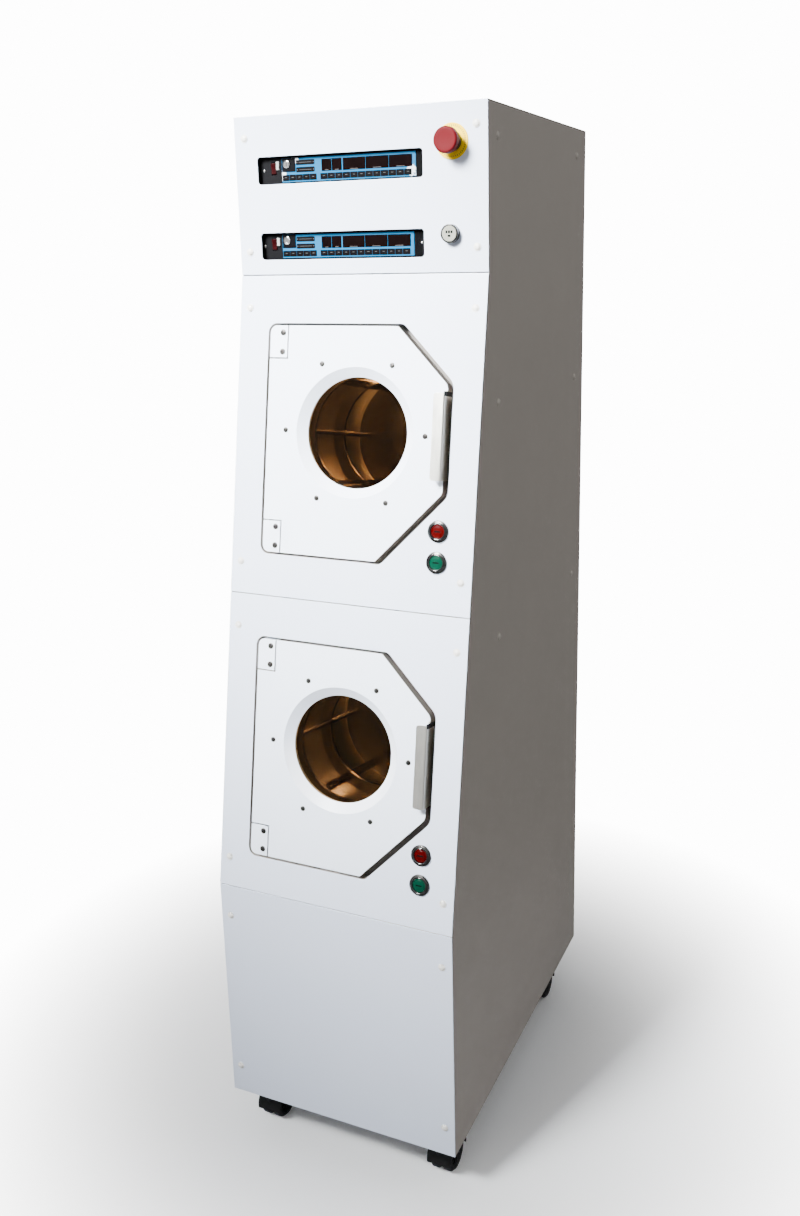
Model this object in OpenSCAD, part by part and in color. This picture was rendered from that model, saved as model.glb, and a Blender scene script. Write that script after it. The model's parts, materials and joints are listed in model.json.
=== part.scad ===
// Two-chamber spin rinse dryer for wafer carriers, on four swivel casters.
// The front has three faces: an upright kick panel, a leaning face with the two
// chamber doors, and an upright control fascia. All sizes are in millimetres.

/* [Cabinet] */
// Width over the side panels
cabinet_w = 420; // [400:5:520]
// Depth from the kick panel's front to the rear panel's back
cabinet_d = 665; // [640:5:820]
// Height of the upright kick panel
kick_h = 402; // [380:1:500]
// Length of the leaning chamber face, along its slope
lean_len = 1000; // [990:1:1200]
// Angle by which the chamber face leans back
lean_deg = 10; // [6:1:12]
// Height of the upright control fascia
fascia_h = 237; // [225:1:300]
// Sheet metal thickness
sheet = 2; // [1.5:0.1:3]
// Gap at the seams between the front panels
seam = 1.5; // [1:0.1:3]
// Side of the square frame tube
post = 25; // [20:1:30]
// Height of the base pan's rim
pan_h = 25; // [15:1:40]
// Thickness of the base pan's floor
pan_t = 3; // [2:0.5:5]
// Radius of the domed screw caps
cap_r = 6; // [5:0.5:8]
// Height of the domed screw caps
cap_h = 2.5; // [1.5:0.5:4]

/* [Chambers] */
// Sideways offset of the chamber centres from the cabinet's middle
chamber_x = 2; // [0:1:10]
// Height of the lower chamber's centre above the lower bend, along the slope
chamber_s = 259; // [250:1:290]
// Distance between the two chamber centres, along the slope
chamber_pitch = 500; // [460:1:520]
// Inner radius of the process bowl
bowl_r = 132; // [120:1:140]
// Wall thickness of the process bowl
bowl_wall = 3; // [2:0.5:4]
// Length of the process bowl behind its flange
bowl_len = 250; // [200:5:280]
// Depth of the chamber flange behind the face
flange_depth = 22; // [21:0.5:26]
// Margin of the chamber flange around the door opening
flange_margin = 8; // [5:1:10]

/* [Doors] */
// Reach of the door to the left of the chamber's centre
door_left = 154.7; // [150:0.1:160]
// Reach of the door to the right of the chamber's centre
door_right = 153.4; // [150:0.1:165]
// Reach of the door above the chamber's centre
door_up = 163; // [155:1:185]
// Reach of the door below the chamber's centre
door_down = 195.5; // [175:0.5:215]
// Thickness of the door panel
door_t = 16; // [14:0.5:18]
// Size of the upper right chamfer
chamfer_up = 86; // [40:1:100]
// Width of the lower right chamfer
chamfer_low_w = 107; // [40:1:120]
// Height of the lower right chamfer
chamfer_low_h = 111; // [40:1:120]
// Radius of the left corners
corner_r = 11; // [5:1:15]
// Radius of the right corners, between the edge and the chamfers
chamfer_r = 14; // [5:1:20]
// Radius of the corners above and below the chamfers
tip_r = 4; // [2:1:12]
// Gap on the hinge side
gap_left = 4; // [4:0.5:8]
// Gap on the handle side and along the chamfers
gap_right = 9; // [5:0.5:12]
// Gap above and below the door
gap_v = 3.5; // [3:0.5:8]
// Visible radius of the window
window_r = 86; // [70:1:95]
// Depth of the window behind the door's face
window_depth = 11; // [8:0.5:12]
// Width of the cone around the window
window_cone_w = 15; // [8:1:20]
// How far the glass reaches beyond the visible window
glass_lap = 11.5; // [6:0.5:14]
// Play around the glass in its seat
glass_play = 0.5; // [0.2:0.1:1]
// Thickness of the window clamp ring
clamp_t = 4; // [3:0.5:5]
// How far the window clamp ring stays inside the bowl's opening
clamp_inset = 4; // [2:1:12]
// How far the middle of the door seal lies outside the bowl's opening
seal_over = 8; // [5:0.5:10]
// Width of the door seal
seal_w = 8; // [5:0.5:9]
// Play left between the seal and the flange
seal_play = 0.4; // [0.3:0.1:1]

/* [Hinges and handle] */
// Distance of the hinge pin from the door's left edge
pin_inset = 9.7; // [9:0.1:11]
// Radius of the hinge pin
pin_r = 4; // [3:0.5:5]
// Running clearance around the hinge pin
pin_play = 0.05; // [0.02:0.01:0.1]
// How far the hinge pin reaches into the door
pin_reach = 16; // [10:1:24]
// Width of the hinge block
block_w = 31; // [30:1:40]
// Height of the hinge block
block_h = 50; // [40:1:60]
// Gap between the hinge block and the door
block_gap = 2; // [1.8:0.1:3]
// Length of the pull handle
handle_len = 130; // [90:1:140]
// How far the handle stands out of the door
handle_out = 15; // [12:0.5:25]
// Width of the handle's folded lip
handle_lip = 18; // [10:0.5:20]
// Thickness of the handle's sheet
handle_t = 2; // [1.5:0.1:3]

/* [Rotor] */
// Gap between the rotor's rings and the bowl
rotor_gap = 22; // [20:1:35]
// Width of the rotor's front and middle rings
rotor_ring_w = 19; // [14:1:30]
// Radius of the rotor's long rods
rod_r = 4.5; // [3:0.5:6]
// Number of long rods
rod_count = 6; // [4:1:8]
// Radius of the rotor's shaft
shaft_r = 12.5; // [8:0.5:15]
// Running clearance of the shaft in its bearings
shaft_play = 0.03; // [0.01:0.01:0.1]

/* [Controls] */
// Width of the controller cut-outs
rack_w = 279; // [260:1:290]
// Height of the controller cut-outs
rack_h = 40.5; // [36:0.5:44]
// Depth of the controller's face behind the fascia
rack_recess = 9; // [5:0.5:15]
// Radius of the chamber push buttons' bezels
bezel_r = 16.7; // [15:0.1:20]
// Radius of the chamber push buttons' lenses
lens_r = 10.5; // [9:0.1:12]
// Travel of the push buttons
press_travel = 3; // [2:0.5:4]
// Radius of the emergency stop's mushroom head
mushroom_r = 18.5; // [15:0.5:20]
// Travel of the emergency stop
estop_travel = 4.5; // [3:0.5:6]

/* [Casters] */
// Height from the floor to the underside of the cabinet
caster_h = 88; // [86:1:110]
// Wheel radius
wheel_r = 30; // [25:1:32]
// Width of one wheel
wheel_w = 16; // [12:1:18]
// Distance of the axle behind the swivel axis
caster_trail = 18; // [12:1:22]
// Distance of the swivel axes from the sides
caster_side_x = 45; // [40:1:60]
// Distance of the front swivel axes from the front
caster_front_y = 52; // [50:1:80]
// Distance of the rear swivel axes from the rear
caster_rear_y = 115; // [75:1:150]

/* [Services] */
// Outer radius of the drain pipe
drain_r = 25; // [20:1:27]
// How far the drain pipe stands out of the rear panel
drain_out = 40; // [30:1:60]
// Height of the drain pipe's outlet above the floor
drain_z = 250; // [200:1:400]
// Radius of the bore of the fluid inlets
inlet_r = 6.5; // [4:0.5:8]

/* [Hidden] */
$fn = 64;
eps = 0.01;
LEVELS = ["lower", "upper"];
CORNERS = ["front_left", "front_right", "rear_left", "rear_right"];
LAMPS = ["red", "green"];
ROOT_NODES = ["base_pan", "left_side_panel", "right_side_panel", "rear_panel", "top_panel",
    "kick_panel", "lower_chamber_panel", "upper_chamber_panel", "control_fascia",
    "panel_screws", "corner_posts", "lower_process_bowl", "upper_process_bowl",
    "bearing_housings", "rotor_bearings", "drive_motors", "spray_manifolds", "hinge_blocks",
    "hinge_pins", "switch_bezels", "estop_disc", "controller_cases", "controller_overlays",
    "drain_pipe", "fluid_inlets", "power_gland", "solenoid_valves"];
DOOR_PARTS = ["door_panel", "door_window", "window_clamp", "door_seal", "door_handle"];

// Heights of the bends, and how far back the fascia stands
z_bend = caster_h + kick_h;
lean_back = lean_len * sin(lean_deg);
z_fascia = z_bend + lean_len * cos(lean_deg);
z_top = z_fascia + fascia_h;
half_w = cabinet_w / 2;
inner_w = half_w - sheet;
caster_x = half_w - caster_side_x;
y_shift = -(cabinet_d + drain_out - cap_h) / 2;
centre_s = [chamber_s, chamber_s + chamber_pitch];
seam_drop = 17;
seam_s = chamber_s + chamber_pitch / 2 - seam_drop;

// Hinge axis and handle, in the door's own frame
hinge_u = -door_left + pin_inset;
hinge_z = -door_t / 2;
edge_r = door_right + handle_t;

// Screw caps: distances from the edges of each face
cap_inset = 17.5;
cap_front_z = [[51.5, 345.5], [49.5, 439], [544, 949], [36, 205]];
cap_side_y = [212, 611];
cap_side_z = [907, 1282, 1666];

// Rear panel: rows of vent slots, and where the fluid inlets and the cable gland go through
vent_w = 140;
vent_h = 4;
vent_x = 95;
vent_drop = 90;
vent_pitch = 14;
vent_rows = 10;
inlet_x = [-120, -80];
inlet_z = 200;
inlet_body_r = 11;
inlet_in = 24;
inlet_out = 26;
gland_x = 130;
gland_z = 200;
gland_r = 12.5;
gland_wall = 5;
gland_in = 20;
gland_out = 18;
nut_over = 4;
nut_t = 5;
collar_t = 8;

// Window and seal
window_cone_r = window_r + window_cone_w;
clamp_r = bowl_r - clamp_inset;
seal_r = bowl_r + seal_over;

// Chamber: rotor, bearings and drive, as depths behind the face
rotor_r = bowl_r - rotor_gap;
rotor_hole_r = rotor_r - rotor_ring_w;
rotor_front = 42;
rotor_mid = 140;
rotor_rear = 236;
ring_t = 6;
rail_u = rotor_r / 2.2;
rail_v = 1.64 * rail_u;
rail_t = 4;
rail_h = 12;
bowl_back = flange_depth + bowl_wall + bowl_len;
housing_len = 62;
housing_r = (bowl_r + bowl_wall) / 3;
bearing_r = 26;
bearing_t = 15;
foot_r = housing_r + 15;
foot_t = 8;
motor_len = 130;
motor_r = 52;
motor_box = [44, 26, 50];
box_sink = 8;
box_inset = 12;
coupling_gap = 2;
coupling_d = 22;
shaft_end = bowl_back + housing_len + coupling_d - 2;
stub_len = 30;
branch_r = drain_r - 5;
drain_drop = bowl_r - branch_r - 12;
riser_r = drain_r + 3;
neck_r = drain_r - 2;
neck_out = 3;
spray_r = 6;
spray_u = bowl_r - spray_r - 4;
spray_front = 52;
spray_tail = 24;
nozzles = 6;
nozzle_pitch = 32;
nozzle_r = 3;
nozzle_out = 2.5;
drain_wall = 3;
drain_play = 0.5;
drain_y = cabinet_d - 53;

// Controls: places on the fascia from its left and lower edges, and on the leaning face
rack_x = [39.2, 39.2];
face_shift = [-5, 0];
rack_z = [43.4, 156.3];
rack_corner = 5;
rack_body_d = 110;
rack_wall = 4;
overlay_x = 38.6;
overlay_w = rack_w - 53;
overlay_h = 35;
overlay_t = 1.2;
key_x = 47.3;
key_z = 8.5;
key_r = 4.2;
key_out = 2.5;
key_len = 15;
key_slot = [1.2, 5.2, 2];
key_play = 0.6;
rocker_x = 23.7;
rocker_z = 3;
rocker_r = 9;
rocker_w = 8;
rocker_deg = 16;
rocker_gap = 0.4;
rocker_in = 4;
rocker_face = 5;
rocker_end = 7.5;
estop_x = cabinet_w - 55;
estop_z = 183;
power_x = cabinet_w - 58;
power_z = 55.5;
power_r = 13.5;
power_out = 9;
power_lens_r = 11.2;
lamp_u = 150;
lamp_v = [-141, -188];
bezel_out = 4;
barrel_r = 14;
barrel_len = 26;
stem_r = 4;
stem_play = 0.06;
lens_play = 0.3;
lens_t = 6;
lens_top = bezel_out - 0.8;
press_rest = 0.4;
power_barrel_r = 12;
power_lens_t = 4;
power_top = power_out - 0.4;
estop_disc_r = 25;
estop_disc_t = 1.5;
estop_out = 28;
estop_body_len = 40;
collar_r = 15;
collar_out = 7;
plunger_r = 5;
head_low = collar_out + estop_travel + 0.5;
head_pin_len = 8;

// Casters: stem, hood and axle
stem_caster_r = 6;
stem_caster_len = 28;
socket_r = 14;
hood_wall = 2;
hood_clear = 2;
web_t = 6;
wheel_gap = 1;
axle_r = 4;
run_play = 0.05;
hood_top_gap = 1;
hood_skirt = 4;
hood_web_in = 10;
boss_rise = 12;
hood_w = 2 * wheel_w + web_t + 2 * wheel_gap + 4;

// --- helpers ---------------------------------------------------------------

function unit(v) = v / norm(v);

// Points of an arc of radius r that rounds the corner b between a and c
function corner_arc(a, b, c, r, n = 8) =
    let (p = unit(a - b), q = unit(c - b), half = acos(p * q) / 2,
         m = b + unit(p + q) * r / sin(half),
         s = b + p * r / tan(half) - m, e = b + q * r / tan(half) - m,
         a0 = atan2(s.y, s.x), turn = atan2(e.y, e.x) - a0,
         da = turn > 180 ? turn - 360 : turn < -180 ? turn + 360 : turn)
    [for (k = [0:n]) m + r * [cos(a0 + da * k / n), sin(a0 + da * k / n)]];

// A closed outline with each corner rounded by its own radius
function rounded(pts, radii) =
    let (n = len(pts))
    [for (i = [0:n - 1])
        each corner_arc(pts[(i + n - 1) % n], pts[i], pts[(i + 1) % n], radii[i])];

// Corners of the door, grown by a gap on each side; the chamfers grow by the right gap
function door_corners(gl, gr, gv) =
    let (top = door_up + gv, low = -door_down - gv, right = door_right + gr,
         up = gr * sqrt(2), cw = chamfer_low_w, ch = chamfer_low_h,
         lw = gr * norm([cw, ch]))
    [[-door_left - gl, low],
     [door_right - cw + (lw - cw * gv) / ch, low],
     [right, -door_down + ch + (ch * gr - lw) / cw],
     [right, door_up - chamfer_up + up - gr],
     [door_right - chamfer_up + up - gv, top],
     [-door_left - gl, top]];

function door_outline(gl = 0, gr = 0, gv = 0) =
    let (c = corner_r + gl, d = chamfer_r + gr, e = tip_r + gr)
    rounded(door_corners(gl, gr, gv), [c, e, d, d, e, c]);

function rect_outline(w, h, r) =
    rounded([[-w / 2, -h / 2], [w / 2, -h / 2], [w / 2, h / 2], [-w / 2, h / 2]], [r, r, r, r]);

// Side view of the cabinet, with the front drawn back by g
function side_outline(g, bottom, top, back) =
    let (k = g * tan(lean_deg / 2))
    [[g, bottom], [g, z_bend - k], [lean_back + g, z_fascia - k],
     [lean_back + g, top], [back, top], [back, bottom]];

module on_lean(x, s) {
    translate([x, 0, z_bend]) rotate([90 - lean_deg, 0, 0]) translate([0, s, 0]) children();
}

module at_chamber(i) on_lean(chamber_x, centre_s[i]) children();

module on_front(x, y, z) translate([x - half_w, y, z]) rotate([90, 0, 0]) children();

module on_fascia(x, z) on_front(x, lean_back, z_fascia + z) children();

// Solid ring between two depths behind the face
module ring(r_out, r_in, depth, t) {
    translate([0, 0, -depth - t]) difference() {
        cylinder(r = r_out, h = t);
        translate([0, 0, -eps]) cylinder(r = r_in, h = t + 2 * eps);
    }
}

module disc(r, depth, t) translate([0, 0, -depth - t]) cylinder(r = r, h = t);

// Shallow dome with its base on the face
module dome(r, h) {
    rotate_extrude() intersection() {
        translate([0, h - (r * r + h * h) / (2 * h)]) circle(r = (r * r + h * h) / (2 * h), $fn = 96);
        square([r, h]);
    }
}

// --- cabinet ---------------------------------------------------------------

module base_pan() color("silver") {
    rear = cabinet_d - sheet;
    difference() {
        union() {
            difference() {
                translate([-inner_w, sheet, caster_h]) cube([2 * inner_w, rear - sheet, pan_h]);
                translate([-inner_w + sheet, 2 * sheet, caster_h + pan_t])
                    cube([2 * inner_w - 2 * sheet, rear - 3 * sheet, pan_h]);
            }
            for (c = [0:3]) at_caster(c)
                translate([0, 0, caster_h]) cylinder(r = socket_r, h = stem_caster_len + 4);
        }
        for (c = [0:3]) at_caster(c) translate([0, 0, caster_h - eps])
            cylinder(r = stem_caster_r + run_play, h = stem_caster_len + 1 + eps);
    }
}

module side_panel(side) color([0.47, 0.46, 0.44]) {
    translate([side * (half_w - sheet / 2) - sheet / 2, 0, 0]) rotate([90, 0, 90])
        linear_extrude(sheet)
            polygon(side_outline(sheet, caster_h, z_top - sheet, cabinet_d - sheet));
}

module rear_panel() color([0.55, 0.55, 0.54]) {
    difference() {
        translate([-half_w, cabinet_d - sheet, caster_h])
            cube([cabinet_w, sheet, z_top - sheet - caster_h]);
        translate([0, cabinet_d - sheet - eps, 0]) rotate([-90, 0, 0]) {
            translate([chamber_x, -drain_z, 0]) cylinder(r = drain_r + drain_play, h = sheet + 2 * eps);
            for (x = inlet_x) translate([x, -inlet_z, 0]) cylinder(r = inlet_body_r, h = sheet + 2 * eps);
            translate([gland_x, -gland_z, 0]) cylinder(r = gland_r, h = sheet + 2 * eps);
        }
        for (side = [-1, 1], k = [0:vent_rows - 1])
            translate([side * vent_x - vent_w / 2, cabinet_d - sheet - eps,
                z_top - vent_drop - vent_pitch * k]) cube([vent_w, sheet + 2 * eps, vent_h]);
    }
}

module top_panel() color([0.55, 0.55, 0.54]) {
    translate([-half_w, lean_back + sheet, z_top - sheet])
        cube([cabinet_w, cabinet_d - lean_back - sheet, sheet]);
}

module kick_panel() color("white") {
    translate([-half_w, 0, caster_h]) cube([cabinet_w, sheet, kick_h - seam / 2]);
}

// Leaning front panel with the door opening and its folded jamb
module chamber_panel(i) color("white") {
    low = i == 0 ? 0 : seam_s;
    high = i == 0 ? seam_s : lean_len;
    opening = door_outline(gap_left, gap_right, gap_v);
    difference() {
        union() {
            on_lean(-half_w, low + seam / 2) translate([0, 0, -sheet])
                cube([cabinet_w, high - low - seam, sheet]);
            at_chamber(i) translate([0, 0, -flange_depth]) linear_extrude(flange_depth - sheet / 2)
                polygon(door_outline(gap_left + sheet, gap_right + sheet, gap_v + sheet));
        }
        at_chamber(i) translate([0, 0, -flange_depth - 1]) linear_extrude(flange_depth + 2)
            polygon(opening);
        at_chamber(i) for (v = lamp_v) translate([lamp_u, v, -flange_depth - 1])
            cylinder(r = barrel_r, h = flange_depth + 2);
    }
}

module control_fascia() color("white") {
    top = z_top - z_fascia;
    difference() {
        translate([-half_w, lean_back, z_fascia + seam / 2]) cube([cabinet_w, sheet, top - seam / 2]);
        for (k = [0, 1]) on_fascia(rack_x[k] + rack_w / 2, rack_z[k]) translate([0, 0, -sheet - 1])
            linear_extrude(sheet + 2) polygon(rect_outline(rack_w, rack_h, rack_corner));
        on_fascia(estop_x, estop_z) translate([0, 0, -sheet - 1]) cylinder(r = barrel_r, h = sheet + 2);
        on_fascia(power_x, power_z) translate([0, 0, -sheet - 1]) cylinder(r = power_barrel_r, h = sheet + 2);
    }
}

module panel_screws() color([0.88, 0.87, 0.84]) {
    for (x = [cap_inset, cabinet_w - cap_inset]) {
        for (z = cap_front_z[0]) on_front(x, 0, caster_h + z) dome(cap_r, cap_h);
        for (s = concat(cap_front_z[1], cap_front_z[2])) on_lean(x - half_w, s) dome(cap_r, cap_h);
        for (z = cap_front_z[3]) on_fascia(x, z) dome(cap_r, cap_h);
    }
    for (side = [-1, 1], y = cap_side_y, z = cap_side_z)
        translate([side * half_w, y, z]) rotate([0, side * 90, 0]) dome(cap_r, cap_h);
}

module corner_posts() color("gray") {
    front_y = lean_back + sheet + 25;
    low = caster_h + pan_t;
    for (side = [-1, 1], y = [front_y, cabinet_d - 2 * sheet - post])
        translate([side * (inner_w - sheet - post / 2) - post / 2, y, low]) difference() {
            cube([post, post, z_top - sheet - low]);
            translate([sheet, sheet, -eps]) cube([post - 2 * sheet, post - 2 * sheet, z_top]);
        }
}

// --- chambers --------------------------------------------------------------

module process_bowl(i) color("lightsteelblue") at_chamber(i) difference() {
    union() {
        translate([0, 0, -flange_depth - bowl_wall]) linear_extrude(bowl_wall)
            polygon(door_outline(gap_left + flange_margin, gap_right + flange_margin, gap_v + flange_margin));
        disc(bowl_r + bowl_wall, flange_depth, bowl_len + bowl_wall);
        translate([0, -drain_drop, 0]) disc(branch_r + 1, bowl_back - bowl_wall, stub_len + bowl_wall);
    }
    disc(bowl_r, flange_depth - 1, bowl_len + 1);
    disc(shaft_r + 5, bowl_back - 2 * bowl_wall, 3 * bowl_wall);
    translate([0, spray_u, 0]) disc(spray_r, bowl_back - 2 * bowl_wall, 3 * bowl_wall);
    translate([0, -drain_drop, 0]) disc(branch_r - drain_wall, bowl_back - 2 * bowl_wall, stub_len + 20);
    for (v = lamp_v) translate([lamp_u, v, 0]) disc(barrel_r, flange_depth - 1, bowl_wall + 2);
}

module bearing_housings() color("dimgray") for (i = [0, 1]) at_chamber(i) difference() {
    union() {
        disc(foot_r, bowl_back, foot_t);
        disc(housing_r, bowl_back, housing_len);
    }
    disc(bearing_r, bowl_back - 1, housing_len + 2);
}

module rotor_bearings() color("silver") for (i = [0, 1], d = [6, housing_len - bearing_t - 6])
    at_chamber(i) ring(bearing_r, shaft_r + shaft_play, bowl_back + d, bearing_t);

module drive_motors() color("darkslategray") for (i = [0, 1]) at_chamber(i) difference() {
    union() {
        disc(motor_r, bowl_back + housing_len, motor_len);
        translate([-motor_box.x / 2, motor_r - box_sink,
            box_inset - bowl_back - housing_len - motor_len]) cube(motor_box);
    }
    disc(shaft_r + coupling_gap, bowl_back + housing_len - 1, coupling_d);
}

// Spray tube along the top of each bowl, with a row of nozzles
module spray_manifolds() color("silver") {
    for (i = [0, 1]) at_chamber(i) translate([0, spray_u, 0]) {
        disc(spray_r, spray_front, bowl_back + spray_tail - spray_front);
        for (k = [0:nozzles - 1])
            translate([0, 0, -spray_front - (k + 0.55) * nozzle_pitch]) rotate([90, 0, 0])
                cylinder(r = nozzle_r, h = spray_r + nozzle_out, $fn = 24);
    }
}

module rotor(i) color("gainsboro") at_chamber(i) {
    ring(rotor_r, rotor_hole_r, rotor_front, ring_t);
    ring(rotor_r, rotor_hole_r, rotor_mid, ring_t);
    difference() {
        disc(rotor_r, rotor_rear, ring_t);
        disc(shaft_r, rotor_rear - 1, ring_t + 2);
    }
    for (k = [0:rod_count - 1]) rotate([0, 0, 360 * k / rod_count])
        translate([(rotor_r + rotor_hole_r) / 2, 0, 0])
            disc(rod_r, rotor_front + ring_t / 2, rotor_rear - rotor_front);
    for (x = [-1, 1], y = [-1, 1]) translate([x * rail_u, y * rail_v, 0])
        translate([-rail_t / 2, -rail_h / 2, -rotor_rear - ring_t / 2])
            cube([rail_t, rail_h, rotor_rear - rotor_front]);
}

module rotor_shaft(i) color("silver") at_chamber(i) {
    disc(shaft_r, rotor_rear - 6, shaft_end - rotor_rear + 6);
    disc(shaft_r + 14, rotor_rear - 10, 10);
}

// --- doors -----------------------------------------------------------------

// Rectangle of a hinge block's corner, grown by a gap
module block_area(top, g) {
    low = top ? door_up - block_h - g : -door_down - 1;
    translate([-door_left - 1, low]) square([block_w + g + 1, block_h + g + 1]);
}

// Pin lengthwise in the hinge axis, between two heights
module hinge_rod(r, low, high) {
    translate([hinge_u, high, hinge_z]) rotate([90, 0, 0]) cylinder(r = r, h = high - low, $fn = 48);
}

module hinge_pair(r, inside, reach) {
    hinge_rod(r, door_up - block_h - reach, door_up - inside);
    hinge_rod(r, -door_down + inside, -door_down + block_h + reach);
}

module hinge_blocks() color("whitesmoke") for (i = [0, 1]) at_chamber(i) difference() {
    for (top = [true, false]) translate([0, 0, -flange_depth]) linear_extrude(flange_depth)
        intersection() {
            polygon(door_outline());
            block_area(top, 0);
        }
    hinge_pair(pin_r, 6, 1);
}

module hinge_pins() color("silver") for (i = [0, 1]) at_chamber(i) hinge_pair(pin_r, 6, pin_reach);

module door_panel(i) color("white") at_chamber(i) difference() {
    translate([0, 0, -door_t]) linear_extrude(door_t) difference() {
        polygon(door_outline());
        for (top = [true, false]) block_area(top, block_gap);
    }
    translate([0, 0, -window_depth]) cylinder(r1 = window_r, r2 = window_cone_r, h = window_depth + eps);
    disc(window_r, window_depth - 1, door_t);
    disc(window_r + glass_lap + glass_play, window_depth, door_t);
    hinge_pair(pin_r + pin_play, 6, pin_reach + 1);
}

module door_window(i) color([0.3, 0.25, 0.2, 0.5]) at_chamber(i)
    disc(window_r + glass_lap, window_depth, door_t - window_depth);

module window_clamp(i) color("silver") at_chamber(i) ring(clamp_r, window_r + 2, door_t, clamp_t);

module door_seal(i) color("dimgray") at_chamber(i)
    ring(seal_r + seal_w / 2, seal_r - seal_w / 2, door_t, flange_depth - door_t - seal_play);

// Bent sheet pull: a web on the door's edge, and a lip folded over the face
module door_handle(i) color("silver") at_chamber(i) {
    web_in = 12;
    lip_r = 4;
    translate([door_right, -handle_len / 2, -web_in]) cube([handle_t, handle_len, web_in + handle_out]);
    translate([edge_r - handle_lip / 2, 0, handle_out - handle_t]) linear_extrude(handle_t)
        polygon(rounded([[-handle_lip / 2, -handle_len / 2], [handle_lip / 2, -handle_len / 2],
            [handle_lip / 2, handle_len / 2], [-handle_lip / 2, handle_len / 2]], [lip_r, 0.5, 0.5, lip_r]));
}

// --- controls --------------------------------------------------------------

// Push button housing: a bezel in front of the panel and a barrel behind it.
// The lens, with its top at top and thickness t, drops by its travel into the bore.
module bezel(r, out, bore, barrel, top, t) difference() {
    union() {
        cylinder(r = r, h = out);
        translate([0, 0, -barrel_len]) cylinder(r = barrel, h = barrel_len + eps);
    }
    translate([0, 0, top - t - press_travel - press_rest]) cylinder(r = bore, h = out + barrel_len);
    translate([0, 0, -barrel_len - 1]) cylinder(r = stem_r + stem_play, h = barrel_len + out + 2);
}

// Push button: a round lens on a stem
module push_button(r, top, t) {
    translate([0, 0, top - t]) cylinder(r = r, h = t);
    translate([0, 0, press_travel - barrel_len])
        cylinder(r = stem_r, h = barrel_len + top - t - press_travel + eps);
}

module switch_bezels() color("silver") {
    for (i = [0, 1], v = lamp_v) at_chamber(i) translate([lamp_u, v, 0])
        bezel(bezel_r, bezel_out, lens_r + lens_play, barrel_r, lens_top, lens_t);
    on_fascia(power_x, power_z)
        bezel(power_r, power_out, power_lens_r + lens_play, power_barrel_r, power_top, power_lens_t);
    on_fascia(estop_x, estop_z) difference() {
        union() {
            translate([0, 0, estop_disc_t]) cylinder(r = collar_r, h = collar_out - estop_disc_t);
            translate([0, 0, -estop_body_len]) cylinder(r = barrel_r, h = estop_body_len + collar_out);
        }
        translate([0, 0, -estop_body_len - 1])
            cylinder(r = plunger_r + stem_play, h = estop_body_len + collar_out + 2);
    }
}

module estop_disc() color("gold") on_fascia(estop_x, estop_z) difference() {
    cylinder(r = estop_disc_r, h = estop_disc_t);
    translate([0, 0, -1]) cylinder(r = barrel_r, h = estop_disc_t + 2);
}

module estop_plunger() color("dimgray") on_fascia(estop_x, estop_z) {
    translate([0, 0, -barrel_len]) cylinder(r = plunger_r, h = barrel_len + head_low);
    translate([0, 0, head_low - 1]) cylinder(r = stem_r, h = head_pin_len + 1);
}

module estop_head() color("crimson") on_fascia(estop_x, estop_z) difference() {
    low = head_low + 0.2;
    rotate_extrude() polygon([[0, low], [mushroom_r / 2, low], [mushroom_r - 3, low + 3],
        [mushroom_r, low + 5.5], [mushroom_r, estop_out - 3], [mushroom_r - 1, estop_out - 1],
        [mushroom_r - 3, estop_out], [0, estop_out]]);
    translate([0, 0, head_low - 1]) cylinder(r = stem_r + run_play, h = head_pin_len + 1.4);
}

module lamp_button(i, k) color(LAMPS[k]) at_chamber(i) translate([lamp_u, lamp_v[k], 0])
    push_button(lens_r, lens_top, lens_t);

module power_button() color("ivory") on_fascia(power_x, power_z)
    push_button(power_lens_r, power_top, power_lens_t);

module at_rack(k) on_fascia(rack_x[k], rack_z[k]) children();

// Front of a controller: its switches and overlay sit a little differently in each case
module at_face(k) at_rack(k) translate([face_shift[k], 0, -rack_recess]) children();

module controller_cases() color([0.08, 0.08, 0.09]) for (k = [0, 1]) difference() {
    pocket = [rocker_w + 2 * rocker_gap, 2 * (rocker_r + rocker_gap), 3 * rocker_r];
    at_rack(k) translate([-rack_wall, -rack_h / 2 - rack_wall, -sheet - rack_body_d])
        cube([rack_w + 2 * rack_wall, rack_h + 2 * rack_wall, rack_body_d]);
    at_rack(k) translate([0, -rack_h / 2, -rack_recess]) cube([rack_w, rack_h, rack_recess]);
    at_face(k) translate([rocker_x - pocket.x / 2, rocker_z - pocket.y / 2, -rocker_in - rocker_r])
        cube(pocket);
    at_face(k) translate([key_x, key_z, -key_len - 1]) cylinder(r = key_r + run_play, h = 2 * key_len);
}

module controller_overlays() color([0.35, 0.66, 0.84]) for (k = [0, 1]) at_face(k) difference() {
    translate([overlay_x, -overlay_h / 2, 0]) cube([overlay_w, overlay_h, overlay_t]);
    translate([key_x, key_z, -1]) cylinder(r = key_r + key_play, h = overlay_t + 2);
}

// Rocker: a drum whose front has two flats; it tips about its own centre
module rocker(i) color("firebrick") at_face(i)
    translate([rocker_x - rocker_w / 2, rocker_z, -rocker_in]) rotate([90, 0, 90])
        linear_extrude(rocker_w) polygon(concat(
            [for (a = [-210:10:30]) rocker_r * [cos(a), sin(a)]],
            [[rocker_end, rocker_face + rocker_end * tan(rocker_deg)], [0, rocker_face],
             [-rocker_end, rocker_face]]));

module key_switch(i) color("silver") at_face(i) translate([key_x, key_z, 0]) difference() {
    translate([0, 0, -key_len]) cylinder(r = key_r, h = key_len + key_out);
    translate([-key_slot.x / 2, -key_slot.y / 2, key_out - key_slot.z]) cube(key_slot + [0, 0, 1]);
}

// --- services --------------------------------------------------------------

module to_rear(x, z) translate([x, cabinet_d, z]) rotate([-90, 0, 0]) children();

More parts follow.
